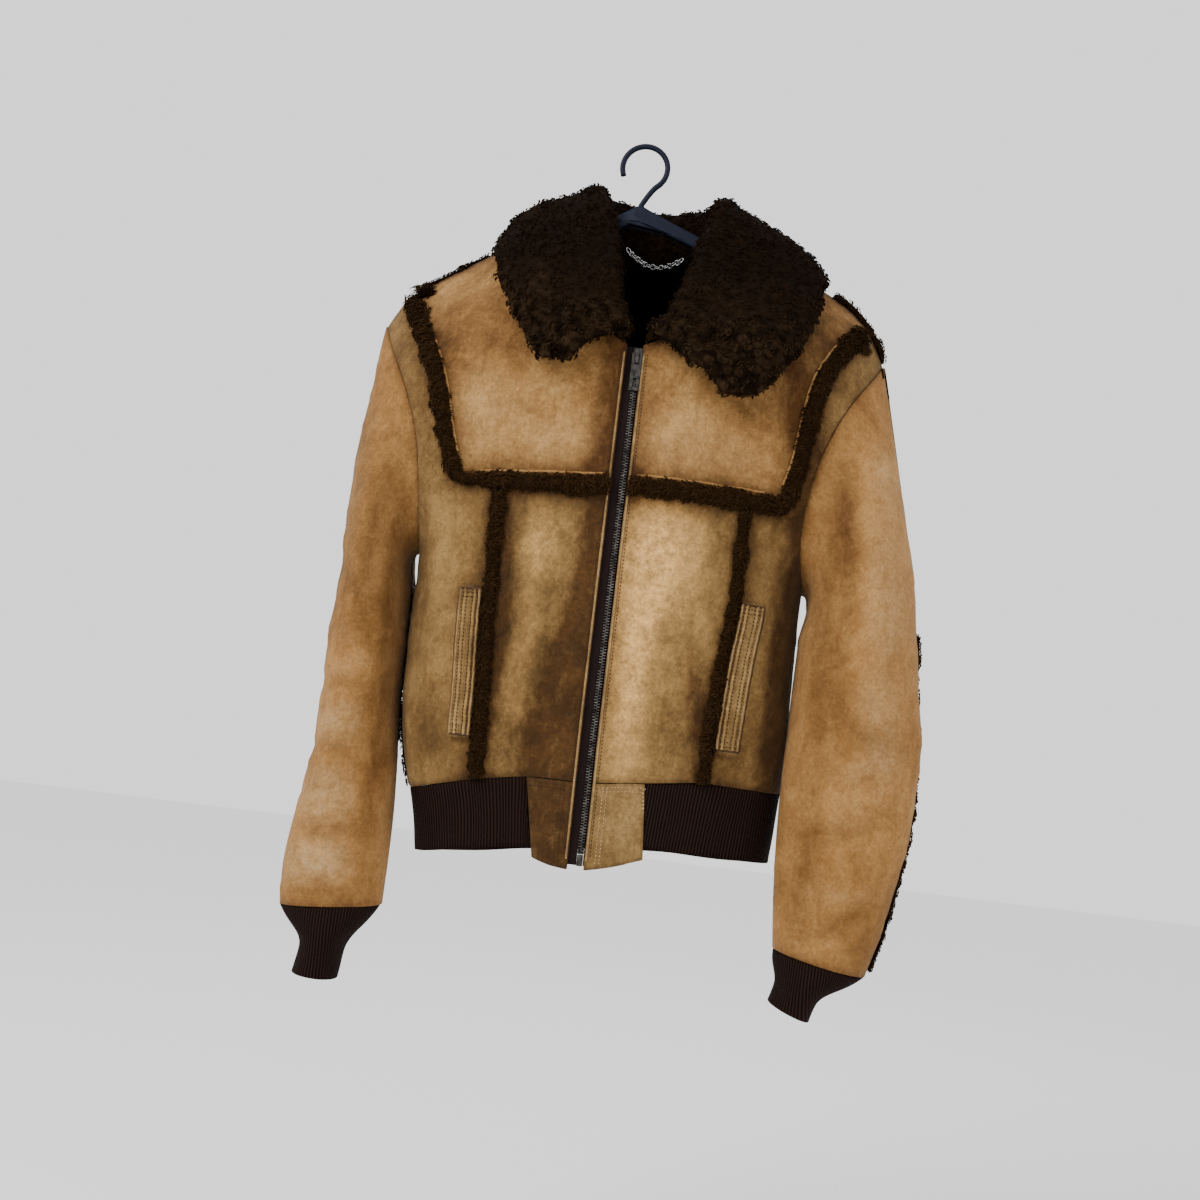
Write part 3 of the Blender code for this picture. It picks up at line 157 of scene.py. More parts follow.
def suede(name, dark, middle, light, pale):
    """Sueded sheepskin: cloudy dye, short nap, wool dye, dirt and painted shade near the seams, and places
    paler from wear and from painted highlight.
    """
    s = Shade(name)
    clouds = s.noise(9, 4, 0.6, distortion=0.5)
    patches = s.noise(30, 5, 0.65, distortion=0.8)
    streaks = s.noise(48, 4, 0.65, stretch=(1.5, 1.5, 0.4), distortion=0.6)
    nap = s.noise(330, 3, 0.75)
    grain = s.noise(170, 4, 0.75)
    mixed = s.times(clouds, 0.32)
    for layer, share in ((patches, 0.30), (streaks, 0.16), (grain, 0.22)):
        mixed = s.math("ADD", mixed, s.times(layer, share))
    colour = s.ramp(mixed, ((0.395, dark), (0.49, middle), (0.575, light)))
    # places paler from wear and from painted highlight
    wear_and_highlight = s.times(s.attribute("wear_and_highlight"), s.range(s.noise(90, 5, 0.75), 0.36, 0.62, 0.25, 1.0))
    colour = s.mix(colour, pale, wear_and_highlight)
    colour = s.mix(colour, tuple(c * NAP_SHADOW for c in dark), s.range(nap, 0.34, 0.66, 0.36, 0.0))
    # wool dye, dirt and painted shade, as the shade attribute gives them, darken the colour unevenly
    uneven = s.range(s.noise(80, 4, 0.6, stretch=(1.3, 1.3, 0.7)), 0.36, 0.64, 0.84, 1.14)
    soil_and_shade_share = s.math("MINIMUM", s.times(s.attribute("shade"), uneven), 0.94)
    colour = s.mix(colour, SOIL_AND_SHADE_TINT, soil_and_shade_share, "MULTIPLY")
    normal = s.bump(nap, 0.4, 0.0014)
    normal = s.bump(s.noise(90, 4, 0.6), 0.5, 0.004, normal)
    return s.paint(colour, s.range(patches, 0.3, 0.7, 0.82, 0.96), normal, 0.12, **SUEDE_SHEEN)


def wool(name, root, tip, highlight, low, large_curls=False):
    """Dense curled pile, painted darker between the curls as shade, with painted highlights, and another tone
    low on the jacket.
    """
    s = Shade(name)
    along = s.attribute("tip")
    tone = s.noise(130, 3, 0.6)
    # the root colour is painted shade deep in the pile, lightening towards the tips
    colour = s.mix(root, tip, s.times(along, s.range(tone, 0.3, 0.7, 0.4, 1.0)))
    # painted highlight on the outer parts of the curls, where a slow noise says
    bright = s.times(s.range(s.noise(26, 4, 0.65), 0.46, 0.66), s.range(along, 0.3, 1.0))
    colour = s.mix(colour, highlight, s.times(bright, 0.85))
    height = s.node("SeparateXYZ", {"Vector": s.place}).outputs["Z"]
    fall = s.times(s.range(height, -0.15, -0.25, 0.05, 0.85), s.range(along, 0.0, 0.9, 0.35, 1.0))
    colour = s.mix(colour, low, fall)
    if large_curls:
        # painted shade in the dark grooves that part the large curls low on the collar's wings
        groove = s.range(s.cells(105), 0.42, 0.66, 0.0, 0.9)
        colour = s.mix(colour, root, s.times(groove, s.range(height, -0.16, -0.22)))
    normal = s.bump(s.noise(620, 4, 0.75), 0.5, 0.0015)
    normal = s.bump(s.cells(230), 0.5, 0.0025, normal)
    return s.paint(colour, s.range(tone, 0.3, 0.7, 0.75, 0.92), normal, 0.03)


def rib_knit(name, groove, rib, fluff):
    """Ribs that run down the band; the attributes count them along it and the loops up it."""
    s = Shade(name)
    ridge = s.range(s.math("SINE", s.times(s.attribute("ribs"), 2 * pi)), -0.9, 0.7)
    loops = s.math("SINE", s.times(s.attribute("rows"), 2 * pi))
    fuzz = s.noise(600, 3, 0.7)
    # the grooves between the ribs take the darker colour as painted shade
    colour = s.mix(groove, rib, ridge)
    colour = s.mix(colour, fluff, s.times(s.range(fuzz, 0.5, 0.8), 0.4))
    normal = s.bump(s.math("ADD", ridge, s.times(loops, 0.10)), 0.9, 0.0014)
    normal = s.bump(fuzz, 0.35, 0.0008, normal)
    return s.paint(colour, s.range(fuzz, 0.3, 0.7, 0.82, 0.95), normal, 0.04)


def woven_tape(name, dark, light):
    s = Shade(name)
    weave = s.times(s.wave(420.0, 0.4, "Z"), s.wave(520.0, 0.3, "X"))
    colour = s.mix(dark, light, s.times(weave, s.noise(90)))
    return s.paint(colour, 0.85, s.bump(weave, 0.6, 0.0006), 0.12)


def metal(name, dark, light, roughness):
    s = Shade(name)
    wear = s.noise(160, 4, 0.65)
    colour = s.mix(dark, light, s.range(wear, 0.35, 0.7))
    rough = s.range(s.noise(320, 3), 0.3, 0.7, roughness * 0.75, roughness * 1.3)
    return s.paint(colour, rough, s.bump(wear, 0.12, 0.0004), Metallic=1.0)


def moulded_plastic(name, colour, lighter):
    s = Shade(name)
    scuffs = s.noise(85, 4, 0.6, distortion=0.8)
    mixed = s.mix(colour, lighter, s.range(scuffs, 0.5, 0.75))
    rough = s.range(scuffs, 0.3, 0.75, 0.45, 0.62)
    return s.paint(mixed, rough, s.bump(s.noise(260, 3), 0.08, 0.0006), 0.16)


def thread(name, colour, lighter):
    s = Shade(name)
    twist = s.noise(900, 2, 0.5)
    mixed = s.mix(colour, lighter, s.range(twist, 0.35, 0.65))
    return s.paint(mixed, s.range(twist, 0.3, 0.7, 0.7, 0.9), specular=0.12)


# each kind of panel's dark, middle and light colour, and its pale colour for wear and painted highlight
SUEDE_COLOURS = {
    "yoke": ((0.150, 0.068, 0.017), (0.272, 0.136, 0.041), (0.41, 0.230, 0.080), (0.50, 0.30, 0.125)),
    "side": ((0.105, 0.052, 0.014), (0.185, 0.100, 0.030), (0.29, 0.170, 0.058), (0.39, 0.24, 0.09)),
    "front": ((0.105, 0.058, 0.018), (0.210, 0.118, 0.037), (0.35, 0.205, 0.070), (0.80, 0.45, 0.152)),
    "sleeve": ((0.185, 0.082, 0.019), (0.276, 0.130, 0.037), (0.365, 0.190, 0.062), (0.47, 0.30, 0.14)),
    "back": ((0.130, 0.062, 0.016), (0.240, 0.124, 0.036), (0.36, 0.202, 0.071), (0.42, 0.262, 0.105)),
    "tab": ((0.115, 0.062, 0.020), (0.225, 0.130, 0.044), (0.35, 0.216, 0.082), (0.44, 0.285, 0.12)),
    "edge": ((0.13, 0.072, 0.026), (0.235, 0.140, 0.054), (0.34, 0.215, 0.09), (0.46, 0.31, 0.145)),
}
SUEDE = {kind: suede("suede_" + kind, *colours) for kind, colours in SUEDE_COLOURS.items()}
# each wool's colour at the root, painted dark as shade, at the tip, where it catches light as a painted
# highlight, and low on the jacket
COLLAR_WOOL = wool(
    "collar_wool",
    (0.005, 0.0022, 0.0007),
    (0.0085, 0.0036, 0.0011),
    (0.0115, 0.005, 0.0016),
    (0.039, 0.0222, 0.0106),
    large_curls=True,
)
TRIM_WOOL = wool(
    "trim_wool",
    (0.0105, 0.0048, 0.0015),
    (0.021, 0.0096, 0.003),
    (0.038, 0.0195, 0.007),
    (0.03, 0.015, 0.0054),
)
LINING = wool(
    "lining_wool",
    (0.0025, 0.0016, 0.0011),
    (0.007, 0.0045, 0.003),
    (0.011, 0.0075, 0.0052),
    (0.004, 0.0028, 0.002),
)
KNIT = rib_knit("rib_knit_yarn", (0.0036, 0.0018, 0.0013), (0.019, 0.0092, 0.0068), (0.028, 0.0145, 0.0110))
TAPE = woven_tape("zip_tape_weave", (0.0115, 0.0055, 0.0056), (0.040, 0.0205, 0.0195))
GUNMETAL = metal("gunmetal_worn", (0.022, 0.021, 0.019), (0.085, 0.08, 0.073), 0.4)
TEETH_METAL = metal("zip_teeth_metal_worn", (0.032, 0.029, 0.026), (0.22, 0.205, 0.19), 0.36)
STEEL = metal("chain_bright", (0.42, 0.42, 0.43), (0.85, 0.85, 0.86), 0.2)
NAVY = moulded_plastic("hanger_navy", (0.0018, 0.0034, 0.0125), (0.004, 0.007, 0.024))
THREAD = thread("tan_thread", (0.26, 0.15, 0.07), (0.50, 0.34, 0.18))
DARK_THREAD = thread("dark_thread", (0.024, 0.012, 0.005), (0.065, 0.035, 0.017))


# ---------------- camera, stage and light

# the camera's turn, lift, roll and field of view in degrees
TURN, LIFT, ROLL, VIEW_ANGLE = 4.0, -5.0, 6.7, 42.0
# what it looks at, and half the width that it sees there, in metres
LOOKS_AT = Vector((0.010, -0.060, -0.490))
HALF_WIDTH = 0.6

WORLD_STRENGTH = 1.4
FLOOR_SIZE, FLOOR_Z = 14, -1.25
FLOOR_COLOUR, FLOOR_ROUGHNESS = (0.86, 0.86, 0.86, 1), 0.9
# each lamp's place, size and power; all of them aim at the jacket's middle
LAMPS = {
    "key": ((-1.5, -1.6, 1.1), 1.0, 56),
    "fill": ((1.9, -1.6, 0.1), 1.6, 8),
    "back": ((0.4, 2.2, 0.8), 2.0, 5),
}
JACKET_MIDDLE = Vector((0, 0, -0.45))


def make_camera():
    """The photograph's view: a little from the wearer's left and from below, rolled clockwise."""
    turn, lift, roll = radians(TURN), radians(LIFT), radians(ROLL)
    distance = HALF_WIDTH / tan(radians(VIEW_ANGLE / 2))
    back = Vector((sin(turn) * cos(lift), -cos(turn) * cos(lift), sin(lift)))
    right = (-back).cross(Vector((0, 0, 1))).normalized()
    up = right.cross(-back)
    # the picture's content leans clockwise, so the camera leans the other way
    right, up = right * cos(roll) + up * sin(roll), up * cos(roll) - right * sin(roll)
    data = bpy.data.cameras.new("camera")
    data.sensor_fit = "HORIZONTAL"
    data.angle = radians(VIEW_ANGLE)
    camera = add_object("camera", data)
    place = Matrix((right, up, back)).transposed().to_4x4()
    place.translation = LOOKS_AT + back * distance
    camera.matrix_world = place
    bpy.context.scene.camera = camera


def make_stage():
    world = bpy.data.worlds.new("studio")
    bpy.context.scene.world = world
    world.use_nodes = True
    background = world.node_tree.nodes["Background"]
    background.inputs["Color"].default_value = (1, 1, 1, 1)
    background.inputs["Strength"].default_value = WORLD_STRENGTH
    bpy.ops.mesh.primitive_plane_add(size=FLOOR_SIZE, location=(0, 0, FLOOR_Z))
    floor = bpy.context.object
    floor.name = "floor"
    floor.data.materials.append(Shade("floor_paint").paint(FLOOR_COLOUR, FLOOR_ROUGHNESS))
    for name, (place, size, power) in LAMPS.items():
        data = bpy.data.lights.new(name, "AREA")
        data.size = size
        data.energy = power
        lamp = add_object(name, data)
        lamp.location = place
        lamp.rotation_euler = (JACKET_MIDDLE - Vector(place)).to_track_quat("-Z", "Y").to_euler()


make_camera()
make_stage()


# ---------------- mesh helpers

WELD = 1e-6
# how much two triangles may bend and skew, in degrees, to be joined into a quad
QUAD_BEND, QUAD_SKEW = 55, 65


def subdivided(name, node, levels=2, crease_from=60.0, crease=1.0):
    """The node as a smooth object; edges sharper than crease_from degrees stay crisp."""
    bm = bmesh.new()
    bm.from_mesh(NODES[node].data)
    bmesh.ops.remove_doubles(bm, verts=bm.verts, dist=WELD)
    bmesh.ops.join_triangles(
        bm,
        faces=bm.faces,
        angle_face_threshold=radians(QUAD_BEND),
        angle_shape_threshold=radians(QUAD_SKEW),
    )
    bmesh.ops.recalc_face_normals(bm, faces=bm.faces)
    layer = bm.edges.layers.float.new("crease_edge")
    for edge in bm.edges:
        if len(edge.link_faces) == 2 and edge.calc_face_angle() > radians(crease_from):
            edge[layer] = crease
    mesh = bpy.data.meshes.new(name + "_cage")
    bm.to_mesh(mesh)
    bm.free()
    obj = add_object(name, mesh)
    obj.modifiers.new("smooth", "SUBSURF").levels = levels
    with_modifiers_applied(obj)
    obj.data.name = name
    return obj


def with_modifiers_applied(obj):
    bpy.context.view_layer.update()
    graph = bpy.context.evaluated_depsgraph_get()
    fine = bpy.data.meshes.new_from_object(obj.evaluated_get(graph))
    obj.modifiers.clear()
    obj.data = fine


def walls(base, corners, rings):
    """The side faces between rings of points that follow each other from base on."""
    faces = []
    for start in range(base, base + (rings - 1) * corners, corners):
        for j in range(corners):
            n = (j + 1) % corners
            faces.append((start + j, start + n, start + corners + n, start + corners + j))
    return faces


def mesh_object(name, points, faces, look, smooth=True):
    mesh = bpy.data.meshes.new(name)
    mesh.from_pydata([tuple(p) for p in points], [], faces)
    mesh.update()
    mesh.materials.append(look)
    if smooth:
        mesh.shade_smooth()
    obj = add_object(name, mesh)
    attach(obj, "jacket")
    return obj


def face_outward(obj):
    bm = bmesh.new()
    bm.from_mesh(obj.data)
    bmesh.ops.recalc_face_normals(bm, faces=bm.faces)
    bm.to_mesh(obj.data)
    bm.free()


def dress(obj, look, node, body="jacket", smooth=True):
    """Give the object its material, and put it in its node's place."""
    obj.data.materials.clear()
    obj.data.materials.append(look)
    if smooth:
        obj.data.shade_smooth()
    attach(obj, body)
    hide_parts(node)
    return obj


def vertex_data(obj, kind):
    """The vertices' places ("co") or their normals ("normal")."""
    found = np.zeros(len(obj.data.vertices) * 3)
    obj.data.vertices.foreach_get(kind, found)
    return found.reshape(-1, 3)


def set_points(obj, points):
    obj.data.vertices.foreach_set("co", points.ravel())
    obj.data.update()


def set_attribute(obj, name, values):
    held = obj.data.attributes.new(name, "FLOAT", "POINT")
    held.data.foreach_set("value", np.asarray(values, np.float32))


def unit(v):
    return v / np.maximum(np.linalg.norm(v, axis=-1, keepdims=True), TINY)


def run_of(line):
    """The length along a line of points, up to each of them."""
    steps = np.linalg.norm(np.diff(line, axis=0), axis=1)
    return np.concatenate([[0], np.cumsum(steps)])


def swirl(points, scale, seed=0):
    """A smoothly changing random vector at each point."""
    shift = Vector((seed * 3.7, seed * 1.3, seed * 2.1))
    return np.array([noise.noise_vector(Vector(p) * scale + shift)[:] for p in points])


def tree_over(meshes):
    """One search tree over several named meshes, and the name behind each of its faces."""
    points, faces, owners = [], [], []
    for name, mesh in meshes:
        start = len(points)
        points += [v.co.copy() for v in mesh.vertices]
        faces += [[start + i for i in polygon.vertices] for polygon in mesh.polygons]
        owners += [name] * len(mesh.polygons)
    return BVHTree.FromPolygons(points, faces), owners


def tree_of(*nodes):
    return tree_over([(node, NODES[node].data) for node in nodes])[0]


FUR_TREE = tree_of(*[node for node in NODES if "_fur_" in node])
COLLAR_TREE = tree_of("collar")
ZIP_TREE = tree_of("zip_tape_right", "zip_tape_left")
NEAR_REACH = 0.08


def distances(tree, points):
    """How far each point is from the tree's meshes, up to NEAR_REACH."""
    found = [tree.find_nearest(Vector(point), NEAR_REACH)[3] for point in points]
    return np.array([NEAR_REACH if distance is None else distance for distance in found])


# the middle lines of torso and sleeves: x, and y at the two depths below the hook
MIDDLES = {"torso": (0.014, 0, 0), "right": (-0.228, -0.004, -0.032), "left": (0.270, -0.012, -0.058)}
MIDDLE_DEPTHS = (0.40, 0.80)


def outward_of(points, part):
    """The level direction away from the middle line of the torso or of a sleeve."""
    x, high_y, low_y = MIDDLES[part]
    way = points.copy()
    way[:, 0] -= x
    way[:, 1] -= np.interp(-points[:, 2], MIDDLE_DEPTHS, (high_y, low_y))
    way[:, 2] = 0
    return way / np.maximum(np.linalg.norm(way, axis=1, keepdims=True), 1e-6)


# ---------------- stains, painted shade and highlights, and creases

# the marks are partly stains and wear, partly painted shade and painted highlight
# soft marks on the suede of each panel: x, z, half width, half height, lean in degrees and strength, in mm;
# a positive strength is darker and a negative one paler
STAINS_AND_PAINTED_LIGHT = {
    "centre_front_right": (
        (-14, -612, 24, 80, -4, 0.85), (-2, -500, 12, 110, -4, 0.5), (-55, -560, 54, 130, 0, 0.5),
        (-90, -520, 12, 150, -3, 0.45), (-58, -440, 16, 42, 0, -0.55), (-60, -560, 12, 80, -6, -0.35),
        (-40, -640, 28, 30, 20, 0.35),
    ),
    "centre_front_left": (
        (112, -575, 15, 62, 8, 0.6), (90, -620, 14, 48, 14, 0.3), (60, -450, 42, 70, 0, -1),
        (48, -560, 26, 110, 0, -0.55), (50, -560, 12, 90, -3, -0.35), (84, -520, 10, 40, 35, 0.3),
        (122, -430, 9, 46, 0, 0.4),
    ),
    "front_yoke_right": (
        (-178, -235, 14, 46, 12, 0.3), (-98, -252, 42, 15, -14, 0.42), (-128, -300, 34, 38, 0, -0.35),
        (-40, -340, 46, 26, 0, -0.4), (-100, -362, 40, 10, 0, 0.22),
    ),
    "front_yoke_left": (
        (184, -262, 13, 70, 10, 0.62), (205, -205, 14, 34, 30, 0.4), (140, -292, 30, 13, 24, 0.38),
        (66, -330, 42, 34, 0, -0.45), (130, -345, 30, 22, 0, -0.25),
    ),
    "side_front_right": (
        (-142, -640, 18, 36, 10, 0.48), (-176, -450, 9, 70, 4, 0.42), (-150, -455, 16, 36, 0, -0.2),
        (-148, -530, 30, 60, 0, 0.18), (-181, -640, 9, 60, 0, 0.5),
    ),
    "side_front_left": (
        (203, -520, 24, 160, 2, 1), (196, -650, 14, 60, 0, 0.6), (162, -640, 14, 40, 0, 0.3),
        (170, -445, 15, 30, 0, -0.3), (208, -400, 12, 60, 0, 0.6),
    ),
    "waist_tab_right": (
        (-18, -716, 44, 60, 0, 1),
    ),
    "waist_tab_left": (
        (58, -722, 12, 26, 0, 0.25),
    ),
    "sleeve_right": (
        (-266, -330, 18, 60, 6, 0.36), (-250, -445, 46, 125, 4, 0.42), (-200, -520, 9, 130, 2, 0.42),
        (-196, -690, 9, 90, 0, 0.42), (-240, -585, 34, 14, 6, -0.4), (-238, -640, 36, 24, 6, -0.6),
        (-240, -715, 38, 30, 8, -0.7), (-244, -780, 38, 24, 8, -0.75), (-240, -748, 34, 6, 10, 0.22),
        (-228, -812, 30, 8, 6, 0.26), (-244, -676, 30, 5, 8, 0.2),
    ),
    "sleeve_left": (
        (244, -392, 15, 52, 4, 0.48), (232, -500, 12, 120, 2, 0.46), (254, -560, 12, 70, 2, 0.24),
        (280, -330, 22, 24, -20, -0.45), (300, -440, 22, 60, 0, -0.22), (290, -487, 26, 40, 0, -0.25),
        (290, -560, 26, 26, 0, -0.35), (300, -610, 20, 40, 10, -0.4), (268, -668, 22, 26, 0, -0.22),
        (238, -730, 12, 90, 0, 0.4), (300, -800, 18, 44, -10, 0.24),
    ),
    "back": (
        (-90, -330, 60, 40, 10, -0.35), (60, -420, 70, 36, -8, -0.3), (120, -560, 40, 70, 6, 0.3),
        (-110, -600, 36, 60, -6, 0.34), (10, -640, 80, 20, 2, 0.28), (0, -250, 70, 18, 0, 0.3),
        (20, -540, 50, 50, 0, -0.3),
    ),
}

# main folds of each panel: x and z of one end, x and z of the other, half width and height, in mm;
# a positive height is a ridge and a negative one a trough
CREASES = {
    "front_yoke_right": (
        (-60, -290, -150, -345, 12, 1.5), (-120, -235, -165, -300, 9, -1.4),
        (0, -270, -20, -370, 8, -1.2),
    ),
    "front_yoke_left": (
        (60, -300, 150, -330, 12, 1.4), (175, -215, 180, -330, 10, -2.2),
        (100, -280, 165, -250, 9, -1.6), (42, -262, 40, -365, 8, -1.2),
    ),
    "centre_front_right": (
        (-15, -430, -30, -660, 13, -2.6), (-45, -410, -62, -640, 12, 1.8),
        (-78, -470, -84, -650, 8, -1.3),
    ),
    "centre_front_left": (
        (62, -420, 58, -650, 16, 1.6), (92, -450, 76, -560, 8, -1.8), (76, -560, 112, -648, 9, -1.7),
        (98, -500, 118, -640, 9, 1.4), (36, -470, 40, -640, 7, -1.1),
    ),
    "side_front_right": (
        (-150, -420, -142, -560, 13, 1.5), (-170, -470, -160, -650, 10, -2),
        (-126, -560, -150, -655, 8, -1.2),
    ),
    "side_front_left": (
        (176, -410, 172, -560, 12, 1.5), (190, -450, 186, -655, 9, -2.2),
    ),
    "sleeve_right": (
        (-262, -300, -250, -470, 14, 2.7), (-222, -330, -214, -560, 10, -3),
        (-272, -470, -210, -520, 10, -2.7), (-268, -545, -205, -572, 9, 2.2),
        (-262, -600, -205, -612, 9, -2.5), (-270, -672, -204, -660, 8, -3),
        (-264, -742, -200, -752, 8, -3.6), (-266, -770, -206, -784, 9, 2.7),
        (-262, -806, -204, -814, 7, -3.3),
    ),
    "sleeve_left": (
        (246, -330, 250, -520, 11, -3.6), (276, -340, 286, -520, 16, 2.7),
        (236, -560, 300, -610, 10, -2.7), (250, -640, 318, -612, 9, 2.4),
        (240, -700, 306, -672, 9, -3.2), (246, -752, 300, -742, 9, 2.4),
        (242, -786, 300, -770, 8, -3.3),
    ),
    "back": (
        (-150, -260, -100, -470, 16, -2.4), (170, -270, 120, -480, 16, -2.4),
        (-60, -250, -40, -600, 18, 2), (80, -260, 60, -600, 18, 2), (-130, -560, 10, -650, 14, -2.2),
        (150, -560, 40, -640, 13, -2), (10, -420, 20, -650, 15, -2),
    ),
}

FOLD_SCALE = 1.4
# a fold bends to and fro by BEND mm, and is END_SHARE of its full height at its ends
BEND, BEND_TURNS, END_SHARE = 5.0, 5.1, 0.35


def marks_of(table, panel):
    """The rows for a panel; both halves of a sleeve share the sleeve's."""
    return table.get(panel.replace("sleeve_front_", "sleeve_").replace("sleeve_back_", "sleeve_"), ())


# the marks' sum: stains and wear, painted shade and painted highlight
def stain_and_light_field(points, rows):
    total = np.zeros(len(points))
    for x, z, wide, high, lean, strength in rows:
        a = radians(lean)
        dx, dz = points[:, 0] / MM - x, points[:, 2] / MM - z
        along = dx * cos(a) + dz * sin(a)
        up = dz * cos(a) - dx * sin(a)
        total += strength * np.exp(-((along / wide) ** 2) - (up / high) ** 2)
    return total


def crease_field(points, rows):
    total = np.zeros(len(points))
    for x1, z1, x2, z2, half, height in rows:
        start, way = np.array((x1, z1)), np.array((x2 - x1, z2 - z1), float)
        flat = points[:, (0, 2)] / MM - start
        share = np.clip(flat @ way / (way @ way), 0, 1)
        off = flat - share[:, None] * way
        bend = BEND * np.sin(share * BEND_TURNS + x1)
        across = np.linalg.norm(off, axis=1) + bend * np.sign(off[:, 0]) * (share > 0) * (share < 1)
        fade = END_SHARE + (1 - END_SHARE) * np.sin(np.clip(share, 0.02, 0.98) * pi)
        total += FOLD_SCALE * height * MM * fade * np.exp(-((across / half) ** 2))
    return total


# ---------------- suede shells

# two faces meet at a panel's cut edge where their normals' product is under CUT_EDGE
CUT_EDGE, EDGE_REACH = 0.45, 0.03
# waves in a metre, their height, and the distance from the edge at which they are full
WAVES, WAVE_HEIGHT, WAVE_EDGE = 16, 0.0022, 0.018
FINE_WAVES, FINEST_WAVES = np.array((34, 34, 62)), 90
FINE_HEIGHT, FINE_EDGE = 0.0011, 0.012
# seams pull the outer face in, and the whole edge swells a little
SEAM_DEPTH, SEAM_WIDTH, EDGE_SWELL = 0.0006, 0.006, 0.0005
# the strength and reach of the darkening beside wool, collar and cut edge, partly wool dye and dirt and
# partly painted shade, and of the painted shade beside the zip
SOIL_AND_SHADE = {"fur": (0.85, 0.0135), "collar": (0.60, 0.016), "edge": (0.42, 0.006)}
# painted shade beside the raised zip: its strength on the right and on the left panels, and its reach
RIGHT_ZIP_SHADE, LEFT_ZIP_SHADE, ZIP_SHADE_REACH = 0.95, 0.22, 0.019
# troughs are painted darker as shade and ridges paler as a painted highlight, fully from FULL_FOLD on
TROUGH_SHADE, RIDGE_HIGHLIGHT, FULL_FOLD = 0.26, 0.32, 0.004
SHOULDER_Z = -0.3


def edge_distances(obj, points):
    """How far each point is from the panel's cut edges, up to EDGE_REACH."""
    sharing = {}
    for face in obj.data.polygons:
        for key in face.edge_keys:
            sharing.setdefault(key, []).append(face.normal.copy())
    border = set()
    for key, pair in sharing.items():
        if len(pair) == 2 and pair[0].dot(pair[1]) < CUT_EDGE:
            border.update(key)
    tree = KDTree(len(border))
    for i in sorted(border):
        tree.insert(points[i], i)
    tree.balance()
    return np.minimum([tree.find(point)[2] for point in points], EDGE_REACH)


# darkening by wool dye, dirt and painted shade, fading with the distance
def soil_and_shade_near(kind, distance):
    strength, reach = SOIL_AND_SHADE[kind]
    return strength * np.exp(-distance / reach)


def shell(node, part, look, creases=0.8, seed=1):
    """A suede panel over its solid: soft creases, pulled seams, wool on the inner face."""
    obj = subdivided(node + "_suede", node)
    points, normals = vertex_data(obj, "co"), vertex_data(obj, "normal")
    way = outward_of(points, part)
    # at the shoulders, a face that looks up is an outer face too
    facing = (normals * way).sum(axis=1) + np.clip(normals[:, 2], 0, 1) * 0.8 * (points[:, 2] > SHOULDER_Z)
    outer = facing > 0.1
    to_edge = edge_distances(obj, points)

    # slow waves and the main folds in both faces together, finer creases in the outer face only
    calm = np.minimum(to_edge / WAVE_EDGE, 1)[:, None]
    folded = crease_field(points, marks_of(CREASES, node))
    moved = swirl(points, WAVES, seed) * WAVE_HEIGHT * calm + way * folded[:, None] * calm
    shift = Vector((seed, 0, 0))
    fine = np.array([noise.noise(Vector(p * FINE_WAVES) + shift) for p in points])
    fine += 0.5 * np.array([noise.noise(Vector(p * FINEST_WAVES)) for p in points])
    lift = fine * FINE_HEIGHT * creases * np.minimum(to_edge / FINE_EDGE, 1)
    lift -= SEAM_DEPTH * np.exp(-((to_edge / SEAM_WIDTH) ** 2))
    moved += normals * (lift * outer + EDGE_SWELL)[:, None]
    set_points(obj, points + moved)

    # darker by wool dye, dirt and painted shade beside the wool, the collar and the cut edges
    shade = soil_and_shade_near("fur", distances(FUR_TREE, points)) + soil_and_shade_near("collar", distances(COLLAR_TREE, points))
    # painted shade beside the raised zip, stronger on the right panels
    by_zip = np.exp(-((distances(ZIP_TREE, points) / ZIP_SHADE_REACH) ** 2))
    zip_shade = RIGHT_ZIP_SHADE if node.endswith("_right") else LEFT_ZIP_SHADE
    shade += zip_shade * by_zip + soil_and_shade_near("edge", to_edge)
    # painted shade in the troughs of the folds
    shade += TROUGH_SHADE * np.clip(-folded / FULL_FOLD, 0, 1)
    # the listed marks, stains and wear as well as painted shade and painted highlight
    field = stain_and_light_field(points, marks_of(STAINS_AND_PAINTED_LIGHT, node))
    # paler by wear and painted highlight where the marks are negative, and by painted highlight on the ridges
    wear_and_highlight = np.maximum(-field, 0) + RIDGE_HIGHLIGHT * np.clip(folded / FULL_FOLD, 0, 1)
    set_attribute(obj, "shade", np.clip(shade + np.maximum(field, 0), 0, 1))
    set_attribute(obj, "wear_and_highlight", np.clip(wear_and_highlight, 0, 1))
    set_attribute(obj, "tip", np.zeros(len(points)))

    dress(obj, SUEDE[look], node)
    obj.data.materials.append(LINING)
    for face in obj.data.polygons:
        if not any(outer[v] for v in face.vertices):
            face.material_index = 1
    return obj


TORSO_PANELS = {
    "front_yoke": "yoke",
    "side_front": "side",
    "centre_front": "front",
    "waist_tab": "tab",
    "pocket_welt": "tab",
}
SHELLS = {}
for side, sign in SIDES.items():
    for k, (kind, look) in enumerate(TORSO_PANELS.items()):
        SHELLS[f"{kind}_{side}"] = shell(f"{kind}_{side}", "torso", look, seed=k + 3 * (sign + 2))
    for half in ("front", "back"):
        name = f"sleeve_{half}_{side}"
        SHELLS[name] = shell(name, side, "sleeve", creases=1.3, seed=11 + sign)
SHELLS["back"] = shell("back", "torso", "back", seed=21)


# ---------------- rib knit

OUTLINE_STEPS = 180
BAND_WAVES, BAND_WAVE_HEIGHT = 22, 0.0016
LOOP_HEIGHT = 0.0022
